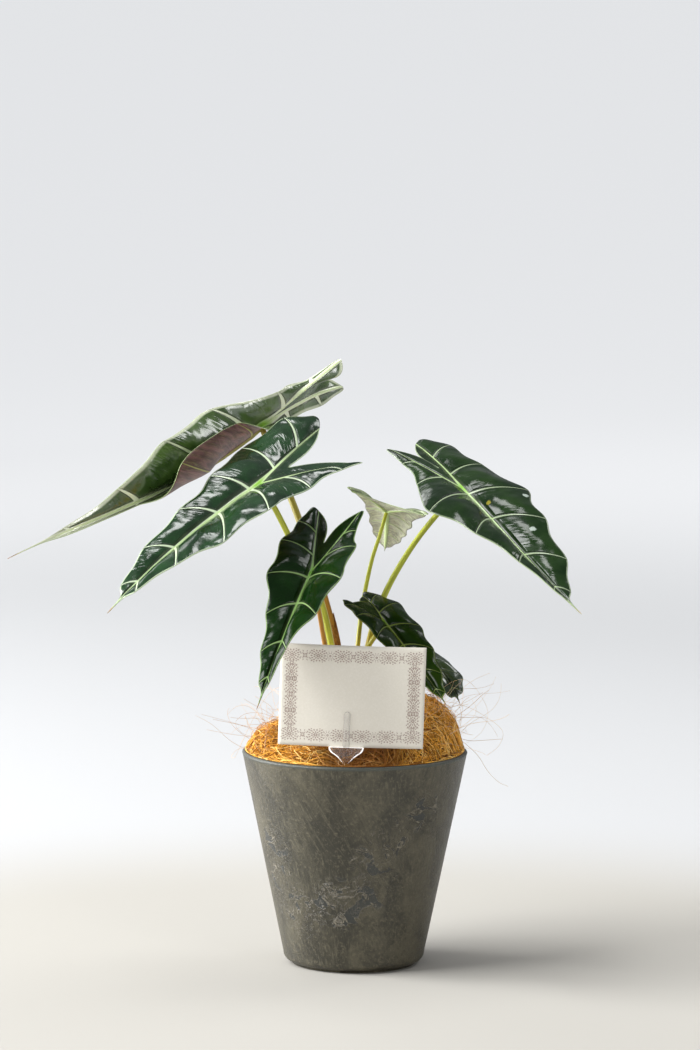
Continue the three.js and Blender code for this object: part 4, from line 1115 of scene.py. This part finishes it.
border = add_piece("card_border", *border_print())
ink = Finish("mauve_ink")
ink.body = ink.between((0.34, 0.265, 0.225), (0.46, 0.375, 0.325), ink.noise(900, 3, 0.6), 0.35, 0.65)
border.data.materials.append(ink.done(Roughness=0.8))

# Card pick
# A clear moulded plastic pick: a flat tulip-shaped shoulder on a stem pushed into the fibre, with a
# short prong in front of the card and a taller one behind it.
PICK_LEFT = 3
PICK_TOP = -CARD_HEIGHT / 2 - GAP
PRONG = 1.2
PICK_HALF = CARD_SHEET / 2 + GAP + PRONG
PRONG_HALF_WIDTH = 2.2
FRONT_PRONG = 24
BACK_PRONG = 34
# Colour, share of light held back, and a painted glow. The white edge is a painted highlight and the grey
# edge a painted dark reflection, in place of the light that clear plastic bends at its edges.
PLASTIC = {"clear_acrylic": ((0.80, 0.80, 0.80), 0.06, 0.0), "acrylic_edge_painted_highlight": ((1, 1, 1), 0.95, 0.6),
           "acrylic_edge_painted_reflection": ((0.46, 0.43, 0.40), 0.6, 0.0)}


def bevelled_bar(v, width, near, far, bevel, edge_slot):
    """A flat bar of half width (n,) at each height v (n,), from near to far in depth, its four long
    edges bevelled: an eight-sided ring at each height, capped at both ends. Its wide faces are clear."""
    b = np.minimum(bevel, 0.45 * width)
    d = np.full_like(b, bevel)
    ring = [(-width, near + d), (-width + b, near + 0 * d), (width - b, near + 0 * d), (width, near + d),
            (width, far - d), (width - b, far + 0 * d), (-width + b, far + 0 * d), (-width, far - d)]
    points = np.stack([np.stack([u - PICK_LEFT, y, v], -1) for u, y in ring], 1)
    fan = np.stack([np.zeros(6, int), np.arange(1, 7), np.arange(2, 8)], 1)
    caps = np.concatenate([fan, fan[:, ::-1] + 8 * (len(v) - 1)])
    slots = np.tile(np.where(np.isin(np.arange(8), (1, 5)), 0, edge_slot), len(v) - 1)
    quads = grid_quads(len(v), 8, closed=True)
    return points.reshape(-1, 3), quads, caps, slots, np.full(len(caps), edge_slot)


def arc(a, b, c):
    """A bend from a to c that leaves towards b: the parabola (1 - t)^2 a + 2 t (1 - t) b + t^2 c."""
    t = np.linspace(0, 1, 12)[:, None]
    return (1 - t) ** 2 * np.array(a) + 2 * t * (1 - t) * np.array(b) + t ** 2 * np.array(c)


def pick_mesh():
    """The shoulder: a stem that swells in two curves, like the profile of a tulip, up to the card's
    lower edge. The prongs: straight, with round tops, one before and one behind the card."""
    outline = np.concatenate([[(0.15, -44), (1.6, -40), (1.6, -30), (1.6, -20)],
                              arc((1.6, -13), (4, -8), (10, -4.5)),
                              arc((10, -4.5), (12.6, -2.6), (12.6, 0))[1:]])
    bars = [bevelled_bar(outline[:, 1] + PICK_TOP, outline[:, 0], -PICK_HALF, PICK_HALF, 0.8, 1)]
    turn = (np.linspace(0, 0.96, 10) * math.pi / 2)[1:]
    width = PRONG_HALF_WIDTH * np.concatenate([np.ones(12), np.cos(turn)])
    for height, near in ((FRONT_PRONG, -PICK_HALF), (BACK_PRONG, PICK_HALF - PRONG)):
        v = np.concatenate([np.linspace(0.02, height, 12), height + PRONG_HALF_WIDTH * np.sin(turn)])
        bars.append(bevelled_bar(v + PICK_TOP, width, near, near + PRONG, 0.38, 2))
    firsts = np.cumsum([0] + [len(bar[0]) for bar in bars[:-1]])
    x, y, z = np.concatenate([bar[0] for bar in bars]).T
    c, s = math.cos(CARD_ROLL), math.sin(CARD_ROLL)
    quads, caps = (np.concatenate([bar[k] + first for bar, first in zip(bars, firsts)]) for k in (1, 2))
    slots = np.concatenate([bar[3] for bar in bars] + [bar[4] for bar in bars])
    placed = np.stack([x * c + z * s, y, z * c - x * s], -1) + CARD_CENTRE
    return placed, quads, caps, None, None, slots, False


pick = add_piece("clear_pick", *pick_mesh())
# The edges carry painted light: a painted glow on the white edges, and white and grey edge colours.
for name, (colour, share, painted_glow) in PLASTIC.items():
    pick.data.materials.append(Finish(name).done(
        Base_Color=colour, Roughness=0.07, IOR=1.49, Alpha=share,
        Emission_Color=(1, 1, 1), Emission_Strength=painted_glow))
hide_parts("card_pick")

# Floor
# The plain pale surface that the pot stands on, painted darker towards the pot: painted shade that offsets
# the light the windows add there.
# It isn't part of the plant.
FLOOR_REACH = 400000.0
corners = FLOOR_REACH * np.array([[-1, -1, 0], [1, -1, 0], [1, 1, 0], [-1, 1, 0]])
ground = bpy.data.meshes.new("pale_floor")
ground.from_pydata((corners * MM).tolist(), [], [(0, 1, 2, 3)])
floor = bpy.data.objects.new("pale_floor", ground)
scene.collection.objects.link(floor)
matt = Finish("pale_floor")
matt.body = (0.80, 0.805, 0.81)
# Painted shade: a broad darkening centred left of the pot, and a darker patch round the pot.
matt.paint((0.47, 0.475, 0.48), matt.nearness((-0.7, 0.3, 0), 4.2), 0.0, 0.65)
matt.paint((0.41, 0.395, 0.36), matt.nearness((0, -0.15, 0), 1.0), 0.1, 0.6)
ground.materials.append(matt.done(Roughness=0.7))
